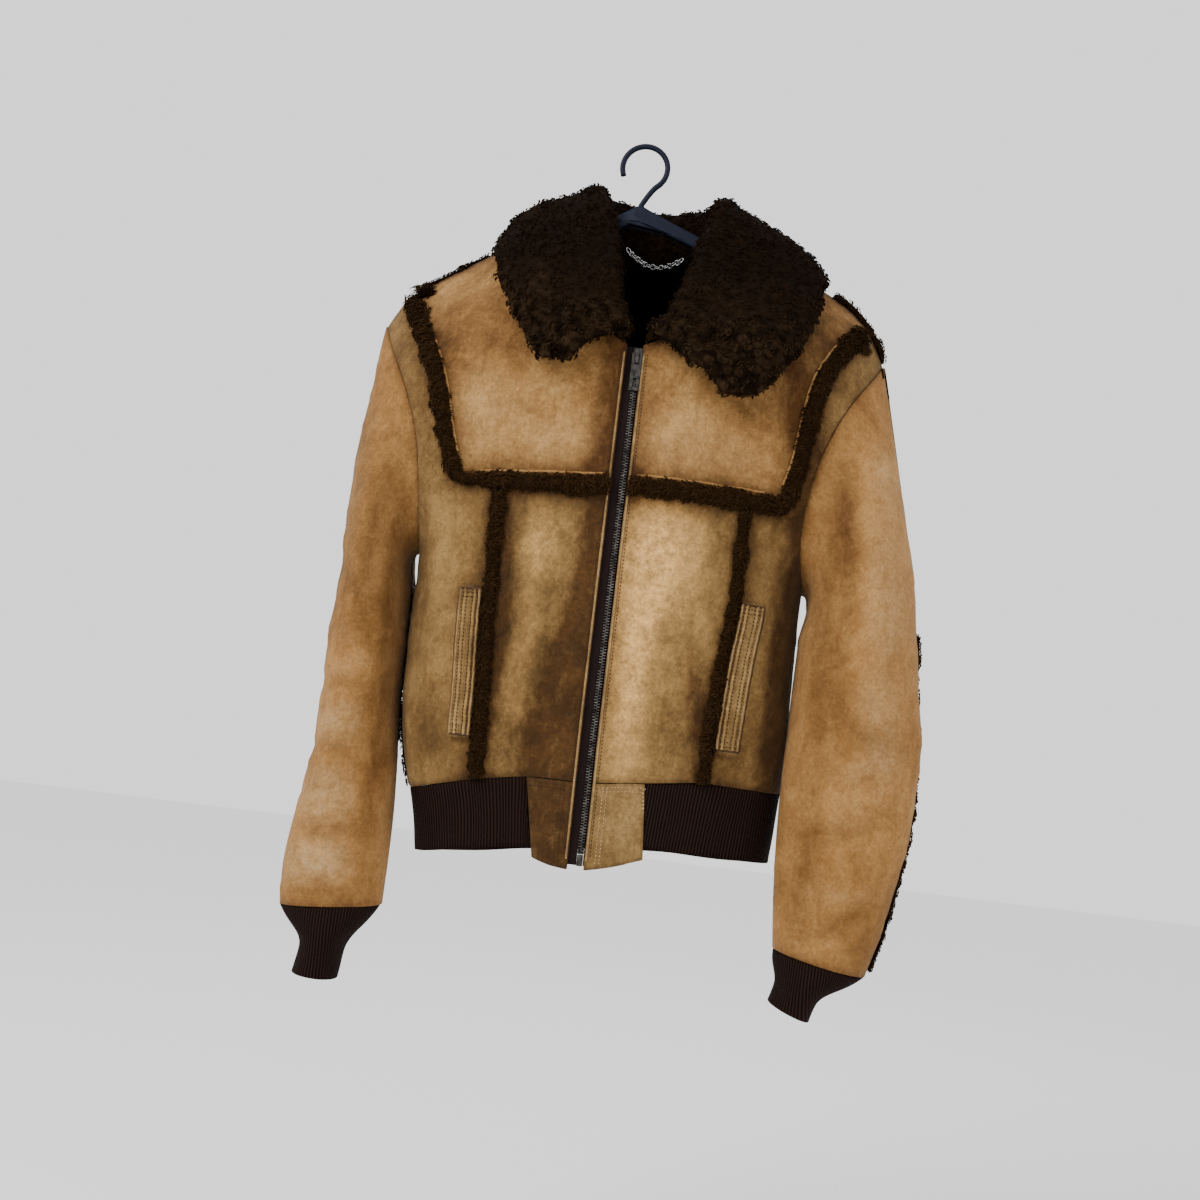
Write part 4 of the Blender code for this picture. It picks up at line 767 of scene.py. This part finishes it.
# the waistband's top is drawn up under the left side, from RAISE_X on and over RAISE_RAMP
RAISE, RAISE_X, RAISE_RAMP, RAISE_DEPTH = 0.0035, 0.14, 0.03, 0.014


def arc_along(points, centre, pitch):
    """How many ribs round the band each point stands, from the length of the band's outline."""
    flat = points[:, :2] - centre
    angle = np.arctan2(flat[:, 1], flat[:, 0])
    bins = np.linspace(-pi, pi, OUTLINE_STEPS + 1)
    reach = np.full(OUTLINE_STEPS, np.nan)
    for k in range(OUTLINE_STEPS):
        inside = (angle >= bins[k]) & (angle < bins[k + 1])
        if inside.any():
            reach[k] = np.hypot(*flat[inside].T).max()
    steps = np.arange(OUTLINE_STEPS)
    known = ~np.isnan(reach)
    reach = np.interp(steps, steps[known], reach[known])
    middles = (bins[:-1] + bins[1:]) / 2
    outline = np.stack([np.cos(middles) * reach, np.sin(middles) * reach], axis=1)
    length = run_of(np.vstack([outline, outline[:1]]))
    count = round(length[-1] / pitch)
    turns = np.linspace(middles[0], middles[0] + 2 * pi, OUTLINE_STEPS + 1)
    return np.interp(angle, turns, length) / length[-1] * count


def rib_band(node, pitch, seed):
    """A knitted band: soft ribs that open and close a little, and on the waistband a top drawn up under the
    left side.
    """
    obj = subdivided(node + "_knit", node)
    points = vertex_data(obj, "co")
    centre = (points.min(axis=0) + points.max(axis=0))[:2] / 2
    moved = swirl(points, BAND_WAVES, seed) * BAND_WAVE_HEIGHT
    moved[:, 2] *= 0.5
    if node == "rib_waistband":
        beside = np.clip((points[:, 0] - RAISE_X) / RAISE_RAMP, 0, 1)
        top = points[points[:, 0] > RAISE_X, 2].max()
        moved[:, 2] += RAISE * beside * np.clip((points[:, 2] - top + RAISE_DEPTH) / RAISE_DEPTH, 0, 1)
    set_points(obj, points + moved)
    set_attribute(obj, "ribs", arc_along(points, centre, pitch))
    set_attribute(obj, "rows", points[:, 2] / LOOP_HEIGHT)
    return dress(obj, KNIT, node)


# each band's rib pitch and seed
BAND_RIBS = {"rib_waistband": (0.0034, 31), "rib_cuff_right": (0.0032, 32), "rib_cuff_left": (0.0032, 33)}
BANDS = {node: rib_band(node, pitch, seed) for node, (pitch, seed) in BAND_RIBS.items()}


# ---------------- wool

# a lock's rings after its first, and the corners of each ring
LOCK_RINGS, LOCK_CORNERS = 2, 3


def surface_samples(obj, count):
    """Points spread evenly over the object's faces, with their normals."""
    mesh = obj.data
    mesh.calc_loop_triangles()
    points, normals = vertex_data(obj, "co"), vertex_data(obj, "normal")
    corners = np.array([t.vertices[:] for t in mesh.loop_triangles])
    a, b, c = points[corners[:, 0]], points[corners[:, 1]], points[corners[:, 2]]
    area = np.linalg.norm(np.cross(b - a, c - a), axis=1) / 2
    chosen = rng.choice(len(corners), count, p=area / area.sum())
    u, v = rng.random(count), rng.random(count)
    over = u + v > 1
    u[over], v[over] = 1 - u[over], 1 - v[over]
    place = a[chosen] + (b - a)[chosen] * u[:, None] + (c - a)[chosen] * v[:, None]
    return place, unit(normals[corners[chosen]].mean(axis=1))


def clump(place, scale):
    """How far the pile stands out at a place: high on a clump and low in the groove between two."""
    near = noise.voronoi(place * scale)[0]
    return 0.45 - min(near[0] * 1.4, 1.1) + 1.1 * noise.noise(place * scale * 0.36)


def locks(name, look, place, normal, flow, length, width, curl, scale, spread=0.35):
    """Many small bent locks of wool: each leaves its root, bows over and curls to a point."""
    count = len(place)
    random_way = unit(rng.normal(size=(count, 3)))
    lay = unit(flow + spread * random_way)
    lay = unit(lay - normal * (lay * normal).sum(axis=1, keepdims=True))
    across = np.cross(normal, lay)
    stands = np.array([clump(Vector(p), scale) for p in place])
    size = (rng.uniform(0.7, 1.3, count) * np.clip(1 + 0.45 * stands, 0.7, 1.3))[:, None]
    turn = rng.uniform(0.5, 1.0, count)[:, None] * curl * rng.choice([-1, 1], count)[:, None]
    rings = []
    tips = []
    for k in range(LOCK_RINGS + 1):
        t = k / LOCK_RINGS
        bend = 0.35 + 1.55 * t
        rise = np.sin(bend * 1.15) * 0.55
        run = (1 - np.cos(bend * 0.95)) * 0.75
        middle = place + (normal * rise * length + lay * run * length) * size
        middle = middle + across * np.sin(turn * t) * length * 0.35 * size
        half = width * size * (1.0 if k == 0 else (1 - t) ** 0.6 * 0.95 + 0.16)
        ahead = unit(lay * (0.4 + t) + normal * (1 - 1.3 * t))
        side_way = unit(np.cross(ahead, normal) + 1e-6)
        up_way = np.cross(side_way, ahead)
        for j in range(LOCK_CORNERS):
            angle = 2 * pi * j / LOCK_CORNERS + turn * t
            rings.append(middle + (side_way * np.cos(angle) + up_way * np.sin(angle) * 0.7) * half)
            # the tip value rises along the lock and on the clumps, so roots and grooves get painted shade
            tips.append(0.25 + 0.75 * t * np.clip(0.8 + 0.9 * stands, 0.25, 1.25))
    points = np.stack(rings, axis=1).reshape(-1, 3)
    starts = range(0, len(points), len(rings))
    faces = [wall for start in starts for wall in walls(start, LOCK_CORNERS, LOCK_RINGS + 1)]
    faces += [range(start + len(rings) - LOCK_CORNERS, start + len(rings)) for start in starts]
    obj = mesh_object(name, points, faces, look)
    set_attribute(obj, "tip", np.clip(np.stack(tips, axis=1).ravel(), 0, 1))
    return obj


def wool_base(name, node, levels, height, scale, look):
    """The pile's body: the solid's form, broken into clumps."""
    obj = subdivided(name, node, levels, crease_from=75, crease=0.4)
    points = vertex_data(obj, "co")
    lift = np.array([clump(Vector(p), scale) for p in points])
    set_points(obj, points + vertex_data(obj, "normal") * (lift * height)[:, None])
    # high on a clump the wool is lighter and in the grooves darker, as painted shade
    set_attribute(obj, "tip", np.clip(0.25 + lift * 0.6, 0, 1))
    return dress(obj, look, node)


COLLAR_CLUMPS, COLLAR_LOCK_COUNT = 90, 14400
COLLAR = wool_base("collar_wool_body", "collar", 3, 0.0028, COLLAR_CLUMPS, COLLAR_WOOL)
place, normal = surface_samples(COLLAR, COLLAR_LOCK_COUNT)
down = np.array((0.0, -0.15, -1.0))
# the pile is short and even on top and breaks into longer curls towards the wings' points
curly = np.clip((-0.165 - place[:, 2]) / 0.06, 0, 1)[:, None]
COLLAR_LOCKS = locks(
    "collar_curls",
    COLLAR_WOOL,
    place,
    normal,
    down * 0.9 + swirl(place, 34) * (1.0 + 1.6 * curly),
    length=0.0032 + 0.0012 * curly,
    width=0.00125 + 0.0004 * curly,
    curl=1.6,
    scale=COLLAR_CLUMPS,
)

TRIM_CLUMPS, TRIM_SWIRL = 160, 70
TRIM_WIDTH, TRIM_CURL = 0.0009, 1.2
# how many locks each seam's wool has, and how long they are
TRIM_LOCKS = {
    "yoke": (4000, 0.0050),
    "princess": (3100, 0.0042),
    "side": (1000, 0.0040),
    "shoulder": (900, 0.0036),
    "sleeve": (3000, 0.0025),
}
for kind, (count, length) in TRIM_LOCKS.items():
    for side in SIDES:
        node = f"{kind}_fur_{side}"
        base = wool_base(node + "_body", node, 2, 0.0012, TRIM_CLUMPS, TRIM_WOOL)
        place, normal = surface_samples(base, count)
        leaning = normal - outward_of(place, side if kind == "sleeve" else "torso") * 0.9
        flow = leaning * 1.6 + swirl(place, TRIM_SWIRL) * 0.8 + np.array((0.0, 0.0, -0.3))
        form = (length, TRIM_WIDTH, TRIM_CURL, TRIM_CLUMPS)
        locks(node + "_curls", TRIM_WOOL, place, normal, flow, *form, spread=0.6)


# ---------------- where things lie on the front

SEARCH_STEP = 0.0007


class Front:
    """Looks straight in from the front at a set of meshes, to lay small things on them."""

    def __init__(self, meshes):
        self.tree, self.owners = tree_over(meshes)

    def hit(self, x, z):
        """The place, the normal and the owner of what is seen at x and z, or three times None."""
        place, normal, index, _ = self.tree.ray_cast(Vector((x, -0.6, z)), Vector((0, 1, 0)))
        if place is None:
            return None, None, None
        return place, normal, self.owners[index]


CAD_FRONT = Front([(name, NODES[name].data) for name in NODES if not name.startswith(("sleeve", "rib_cuff"))])
SHELL_FRONT = Front([(name, obj.data) for name, obj in SHELLS.items() if not name.startswith("sleeve")])


def border(inside, beyond, along, start, stop, low, high, step=0.003):
    """The line in the front view where nodes named in inside stop and those in beyond begin.

    along is "x" or "z": the line is walked in that direction, and searched for from low to high in the other.
    """
    line = []
    for value in np.arange(start, stop, copysign(step, stop - start)):
        last = None
        for other in np.arange(low, high, copysign(SEARCH_STEP, high - low)):
            x, z = (value, other) if along == "x" else (other, value)
            owner = CAD_FRONT.hit(x, z)[2]
            if last in inside and owner in beyond:
                line.append((x, z))
                break
            if owner in inside or last not in inside:
                last = owner
    return line


def sides_of(node, levels, low, high):
    """The leftmost and the rightmost place where the node shows, at each level."""
    left, right = [], []
    for z in levels:
        seen = [x for x in np.arange(low, high, SEARCH_STEP) if CAD_FRONT.hit(x, z)[2] == node]
        if seen:
            left.append((seen[0], z))
            right.append((seen[-1], z))
    return left, right


# wool that runs on past the yoke strips' upper ends to the shoulder: x and z of one end, x and z of the
# other, half width, length and upward lean, in mm
STRIP_ENDS = {
    "right": (-207, -222, -214, -208, 6.0, 5.5, 1.2),
    "left": (226, -198, 246, -199, 6.5, 5.5, 0.2),
}
STRIP_END_LOCKS = 900
for side, (x1, z1, x2, z2, half, long, rise) in STRIP_ENDS.items():
    place, normal = [], []
    for _ in range(STRIP_END_LOCKS):
        share = rng.random()
        x = x1 + (x2 - x1) * share + rng.normal() * half * 0.5
        z = z1 + (z2 - z1) * share + rng.normal() * half * 0.5
        found, facing, _ = SHELL_FRONT.hit(x * MM, z * MM)
        if found is not None:
            place.append(found[:])
            normal.append(facing[:])
    flow = swirl(place, TRIM_SWIRL) + np.array((0, 0, rise))
    form = (long * MM, 0.0010, TRIM_CURL, TRIM_CLUMPS)
    locks(f"yoke_fur_{side}_end", TRIM_WOOL, np.array(place), np.array(normal), flow, *form)

# the right strip's end stands up above the shoulder as a small knob of wool
KNOB_LOCKS, KNOB_SIZE = 420, 0.0022
knob = []
for x in np.arange(-0.219, -0.2085, 0.0008):
    for z in np.arange(-0.185, -0.24, -0.0008):
        found = SHELL_FRONT.hit(x, z)[0]
        if found is not None:
            knob.append(found[:])
            break
knob = np.array(knob)[rng.integers(0, len(knob), KNOB_LOCKS)] + rng.normal(size=(KNOB_LOCKS, 3)) * KNOB_SIZE
knob_up = unit(np.array((-0.35, -0.25, 1.0)) + rng.normal(size=(KNOB_LOCKS, 3)) * 0.35)
form = (0.0105, 0.0011, 1.0, TRIM_CLUMPS)
locks("yoke_fur_right_knob", TRIM_WOOL, knob, knob_up, knob_up, *form, spread=0.5)


# ---------------- stitching and piped edges

STITCH = 0.0036
STITCH_RADIUS, POCKET_STITCH_RADIUS = 0.00045, 0.00052
BEAD_STEP = 0.004
# a bead's section: across and out, in half widths and heights
BEAD_SECTION = ((-1, -0.5), (-0.85, 0.35), (-0.45, 0.85), (0, 1), (0.45, 0.85), (0.85, 0.35), (1, -0.5))
SQUARE = ((1, 0), (0, 1), (-1, 0), (0, -1))


def shifted(line, dx, dz=0.0):
    return [(x + dx, z + dz) for x, z in line]


def laid(line, pitch, shift=0.0, lift=0.0001):
    """Points every pitch along a front-view line, on the shells, moved sideways by shift."""
    flat = np.array(line)
    length = run_of(flat)

    def at(run):
        return np.array([np.interp(run, length, flat[:, k]) for k in (0, 1)])

    found = []
    last = None
    for run in np.arange(0, length[-1], pitch):
        way = at(run + 0.004) - at(run - 0.004)
        way /= max(np.linalg.norm(way), TINY)
        x, z = at(run)
        place, normal, _ = SHELL_FRONT.hit(x - way[1] * shift, z + way[0] * shift)
        jumped = place is not None and last is not None and (place - last).length > pitch * 3
        if place is not None and not jumped:
            found.append((place + normal * lift, normal))
        last = place
    return found


def stitches(name, rows, radius, look):
    """Rows of separate stitches, each a short spindle with its ends in the leather."""
    points, faces = [], []
    for row in rows:
        for (start, normal), (end, _) in zip(row[:-1], row[1:]):
            way = end - start
            if way.length > STITCH * 1.8 or way.length < STITCH * 0.3:
                continue
            end = start + way * 0.70
            way.normalize()
            side_way = way.cross(normal).normalized()
            base = len(points)
            points.append(start - normal * radius * 0.8)
            for share in (0.2, 0.8):
                middle = start.lerp(end, share) + normal * radius * 0.35
                points += [middle + side_way * radius * a + normal * radius * b * 0.9 for a, b in SQUARE]
            points.append(end - normal * radius * 0.8)
            for j in range(4):
                n = (j + 1) % 4
                faces.append((base, base + 1 + n, base + 1 + j))
                faces.append((base + 1 + j, base + 1 + n, base + 5 + n, base + 5 + j))
                faces.append((base + 9, base + 5 + j, base + 5 + n))
    mesh_object(name, points, faces, look)


def bead(name, row, half_width, height, look):
    """A soft raised edge that follows a row of laid points."""
    points = []
    for k, (place, normal) in enumerate(row):
        before = row[max(k - 2, 0)][0]
        ahead = row[min(k + 2, len(row) - 1)][0]
        side_way = (ahead - before).normalized().cross(normal).normalized()
        wave = 1 + 0.22 * noise.noise(place * 90)
        for a, b in BEAD_SECTION:
            points.append(place + side_way * a * half_width * wave + normal * b * height * wave)
    n = len(BEAD_SECTION)
    ends = [range(n), range(len(points) - 1, len(points) - n - 1, -1)]
    obj = mesh_object(name, points, walls(0, n, len(row)) + ends, look)
    for attribute in ("shade", "wear_and_highlight", "tip"):
        set_attribute(obj, attribute, np.zeros(len(points)))


ZIP_NODES = ("zip_tape_right", "zip_tape_left", "zip_teeth", "zip_slider", "pull_tab", "zip_box")


def zip_edge(side, sign):
    """The fronts' turned edge beside the zip, and the stitches that hold it."""
    panels = (f"front_yoke_{side}", f"centre_front_{side}", f"waist_tab_{side}")
    edge = np.array(border(panels, ZIP_NODES, "z", -0.246, -0.748, ZIP_X + sign * 0.045, ZIP_X, 0.004))
    # a running median takes out the steps between the panels
    edge[4:-4, 0] = [np.median(edge[k - 4 : k + 5, 0]) for k in range(4, len(edge) - 4)]
    row = laid(edge, BEAD_STEP, shift=sign * 0.0020, lift=0.0004)
    bead(f"zip_edge_{side}", row, 0.0011, 0.0010, SUEDE["edge"])
    row = laid(edge, STITCH, shift=sign * 0.0052)
    stitches(f"zip_edge_thread_{side}", [row], STITCH_RADIUS, DARK_THREAD)


def yoke_cut_edge(side, sign):
    """The yoke's own cut edge shows as a pale line beside its wool, below and at the armhole."""
    yoke, fur = (f"front_yoke_{side}",), (f"yoke_fur_{side}",)
    corner_x = -0.125 if sign < 0 else 0.165
    lower = border(yoke, fur, "x", ZIP_X + sign * 0.016, corner_x, -0.33, -0.41)
    outer = border(yoke, fur, "z", -0.175, -0.362, ZIP_X + sign * 0.10, ZIP_X + sign * 0.21)
    for k, (line, shift) in enumerate(((lower, sign * 0.0036), (outer, -sign * 0.0022))):
        bead(f"yoke_cut_edge_{side}_{k}", laid(line, BEAD_STEP, shift), 0.0013, 0.0006, SUEDE["yoke"])


def pocket(side):
    """Two rows of stitches across each end of the welt and along each long edge, ridges, and a dark bead as
    painted shadow in the gap round the welt.
    """
    node = f"pocket_welt_{side}"
    co = vertex_data(NODES[node], "co")
    low, high = co.min(axis=0), co.max(axis=0)
    levels = np.arange(high[2] - 0.003, low[2] + 0.003, -0.004)
    left, right = sides_of(node, levels, low[0] - 0.002, high[0] + 0.002)
    edges = ((left, 1), (right, -1))
    rows = [laid(shifted(line, way * by), STITCH) for by in (0.0042, 0.0085) for line, way in edges]
    # the outer ridges are the turned edges, and the inner ones lie between the rows
    ridges = [(line, way * 0.0015, (0.0012, 0.0010, SUEDE["edge"])) for line, way in edges]
    ridges += [(line, way * 0.0064, (0.0014, 0.0005, SUEDE["tab"])) for line, way in edges]
    for k, (line, by, form) in enumerate(ridges):
        bead(f"pocket_ridge_{side}_{k}", laid(shifted(line, by), BEAD_STEP), *form)
    for level in (0.004, 0.0085):
        for end, way in ((0, -1), (-1, 1)):
            (x1, z1), (x2, z2) = left[end], right[end]
            across = [(x1 + 0.001, z1 + way * level), (x2 - 0.001, z2 + way * level)]
            rows.append(laid(across, STITCH * 0.8))
    # a dark bead round the welt is painted shadow in the gap
    loop = shifted(left, -0.0006) + shifted(reversed(right), 0.0006)
    bead(f"pocket_gap_shadow_{side}", laid(loop + loop[:1], 0.003, lift=0.0), 0.0012, 0.0006, DARK_THREAD)
    stitches(f"pocket_thread_{side}", rows, POCKET_STITCH_RADIUS, DARK_THREAD)


def waist_tab_stitches(side, sign):
    """A double row along the tab's top and down its zip edge."""
    span = np.arange(0.018, 0.072, 0.003) * sign + ZIP_X
    tops = border((f"centre_front_{side}",), (f"waist_tab_{side}",), "x", span[0], span[-1], -0.62, -0.72)
    rows = [laid(shifted(tops, 0.0, -by), STITCH) for by in (0.0035, 0.0075)]
    for by in (0.0185, 0.0225):
        x = ZIP_X + sign * by
        rows.append(laid([(x, tops[0][1] - 0.004), (x, -0.752)], STITCH))
    # the right tab lies in shade, so its stitches take the dark thread as painted shade
    stitches(f"waist_tab_thread_{side}", rows, STITCH_RADIUS, THREAD if sign > 0 else DARK_THREAD)


for side, sign in SIDES.items():
    zip_edge(side, sign)
    yoke_cut_edge(side, sign)
    pocket(side)
    waist_tab_stitches(side, sign)


# ---------------- zip, chain and hanger


def cad_copy(node, name, look, body="jacket", bevel=0.0):
    """The node's own form with softened edges and its own material."""
    obj = add_object(name, NODES[node].data.copy())
    if bevel:
        soft = obj.modifiers.new("soft", "BEVEL")
        soft.width = bevel
        soft.segments = 2
        soft.limit_method = "ANGLE"
        soft.angle_limit = radians(35)
        with_modifiers_applied(obj)
    return dress(obj, look, node, body, smooth=False)


for side in SIDES:
    cad_copy(f"zip_tape_{side}", f"zip_tape_{side}_weave", TAPE)
cad_copy("zip_slider", "zip_slider_body", GUNMETAL, bevel=0.0005)
cad_copy("pull_tab", "pull_tab_metal", GUNMETAL, body="zip_pull", bevel=0.0002)
cad_copy("zip_box", "zip_box_metal", GUNMETAL, bevel=0.0005)

# closed teeth: blocks that meet in the middle, turn about from the two sides
TOOTH_PITCH, TOOTH_HALF_HEIGHT = 0.0014, 0.00055
TOOTH_BEVEL, TOOTH_BEVEL_DEPTH = 0.00018, 0.0004
TOOTH_OUT, TOOTH_PAST_MIDDLE = 0.0031, 0.0007
TOOTH_FRONT, TOOTH_BACK = 0.0004, 0.0012
CORD_BACK = 0.0009
TEETH_FRONT = Front([("zip_teeth", NODES["zip_teeth"].data)])
teeth_z = vertex_data(NODES["zip_teeth"], "co")[:, 2]
points, faces = [], []
for k, z in enumerate(np.arange(teeth_z.max() - 0.0008, teeth_z.min(), -TOOTH_PITCH)):
    hit = TEETH_FRONT.hit(TEETH_X, z)[0]
    if hit is None:
        continue
    way = -1 if k % 2 else 1
    x0, x1 = TEETH_X + way * TOOTH_OUT, TEETH_X - way * TOOTH_PAST_MIDDLE
    y0, y1 = hit.y - TOOTH_FRONT, hit.y + TOOTH_BACK
    low, high = z - TOOTH_HALF_HEIGHT, z + TOOTH_HALF_HEIGHT
    base = len(points)
    for y, inset in ((y0, TOOTH_BEVEL), (y0 + TOOTH_BEVEL_DEPTH, 0.0), (y1, 0.0)):
        for x, level in ((x0, low), (x1, low), (x1, high), (x0, high)):
            toward = 1 if x < (x0 + x1) / 2 else -1
            points.append((x + toward * inset, y, level + (inset if level < z else -inset)))
    faces += [range(base, base + 4), *walls(base, 4, 3), range(base + 11, base + 7, -1)]
face_outward(mesh_object("zip_teeth_metal", points, faces, TEETH_METAL, smooth=False))
backing = cad_copy("zip_teeth", "zip_teeth_cord", TAPE)
backing.data.transform(Matrix.Translation((0, CORD_BACK, 0)))

# the neck chain's links, each turned a quarter from the last
LINK, WIRE = 0.0046, 0.00058
LINK_AROUND, WIRE_AROUND = 14, 6
CHAIN = vertex_data(NODES["neck_chain"], "co")
path = []
for x in np.linspace(CHAIN[:, 0].min() + 0.001, CHAIN[:, 0].max() - 0.001, 25):
    near = CHAIN[np.argsort(abs(CHAIN[:, 0] - x))[:10]]
    path.append((x, near[:, 1].mean(), near[:, 2].mean()))
path = np.array(path)
for _ in range(2):
    path[1:-1] = (path[:-2] + path[1:-1] * 2 + path[2:]) / 4
length = run_of(path)


def on_path(run):
    return Vector([np.interp(run, length, path[:, i]) for i in range(3)])


points, faces = [], []
for k, run in enumerate(np.arange(LINK / 2, length[-1], LINK)):
    middle = on_path(run)
    way = (on_path(run + 0.001) - middle).normalized()
    flat_way = Vector((0, -1, 0)).cross(way).normalized()
    tilt = radians(45 if k % 2 else -45) + 0.25 * noise.noise(middle * 800)
    side_way = flat_way * cos(tilt) + way.cross(flat_way) * sin(tilt)
    out_way = way.cross(side_way)
    base = len(points)
    for i in range(LINK_AROUND):
        a = 2 * pi * i / LINK_AROUND
        ring = way * cos(a) * LINK * 0.78 + side_way * sin(a) * LINK * 0.55
        outward = (way * cos(a) * 0.7 + side_way * sin(a)).normalized()
        here, after = base + i * WIRE_AROUND, base + (i + 1) % LINK_AROUND * WIRE_AROUND
        for j in range(WIRE_AROUND):
            b = 2 * pi * j / WIRE_AROUND
            points.append(middle + ring + (outward * cos(b) + out_way * sin(b)) * WIRE)
            n = (j + 1) % WIRE_AROUND
            faces.append((here + j, here + n, after + n, after + j))
chain = mesh_object("neck_chain_links", points, faces, STEEL)
face_outward(chain)
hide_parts("neck_chain")

hanger = subdivided("hanger_moulding", "hanger", crease_from=70, crease=0.6)
dress(hanger, NAVY, "hanger")
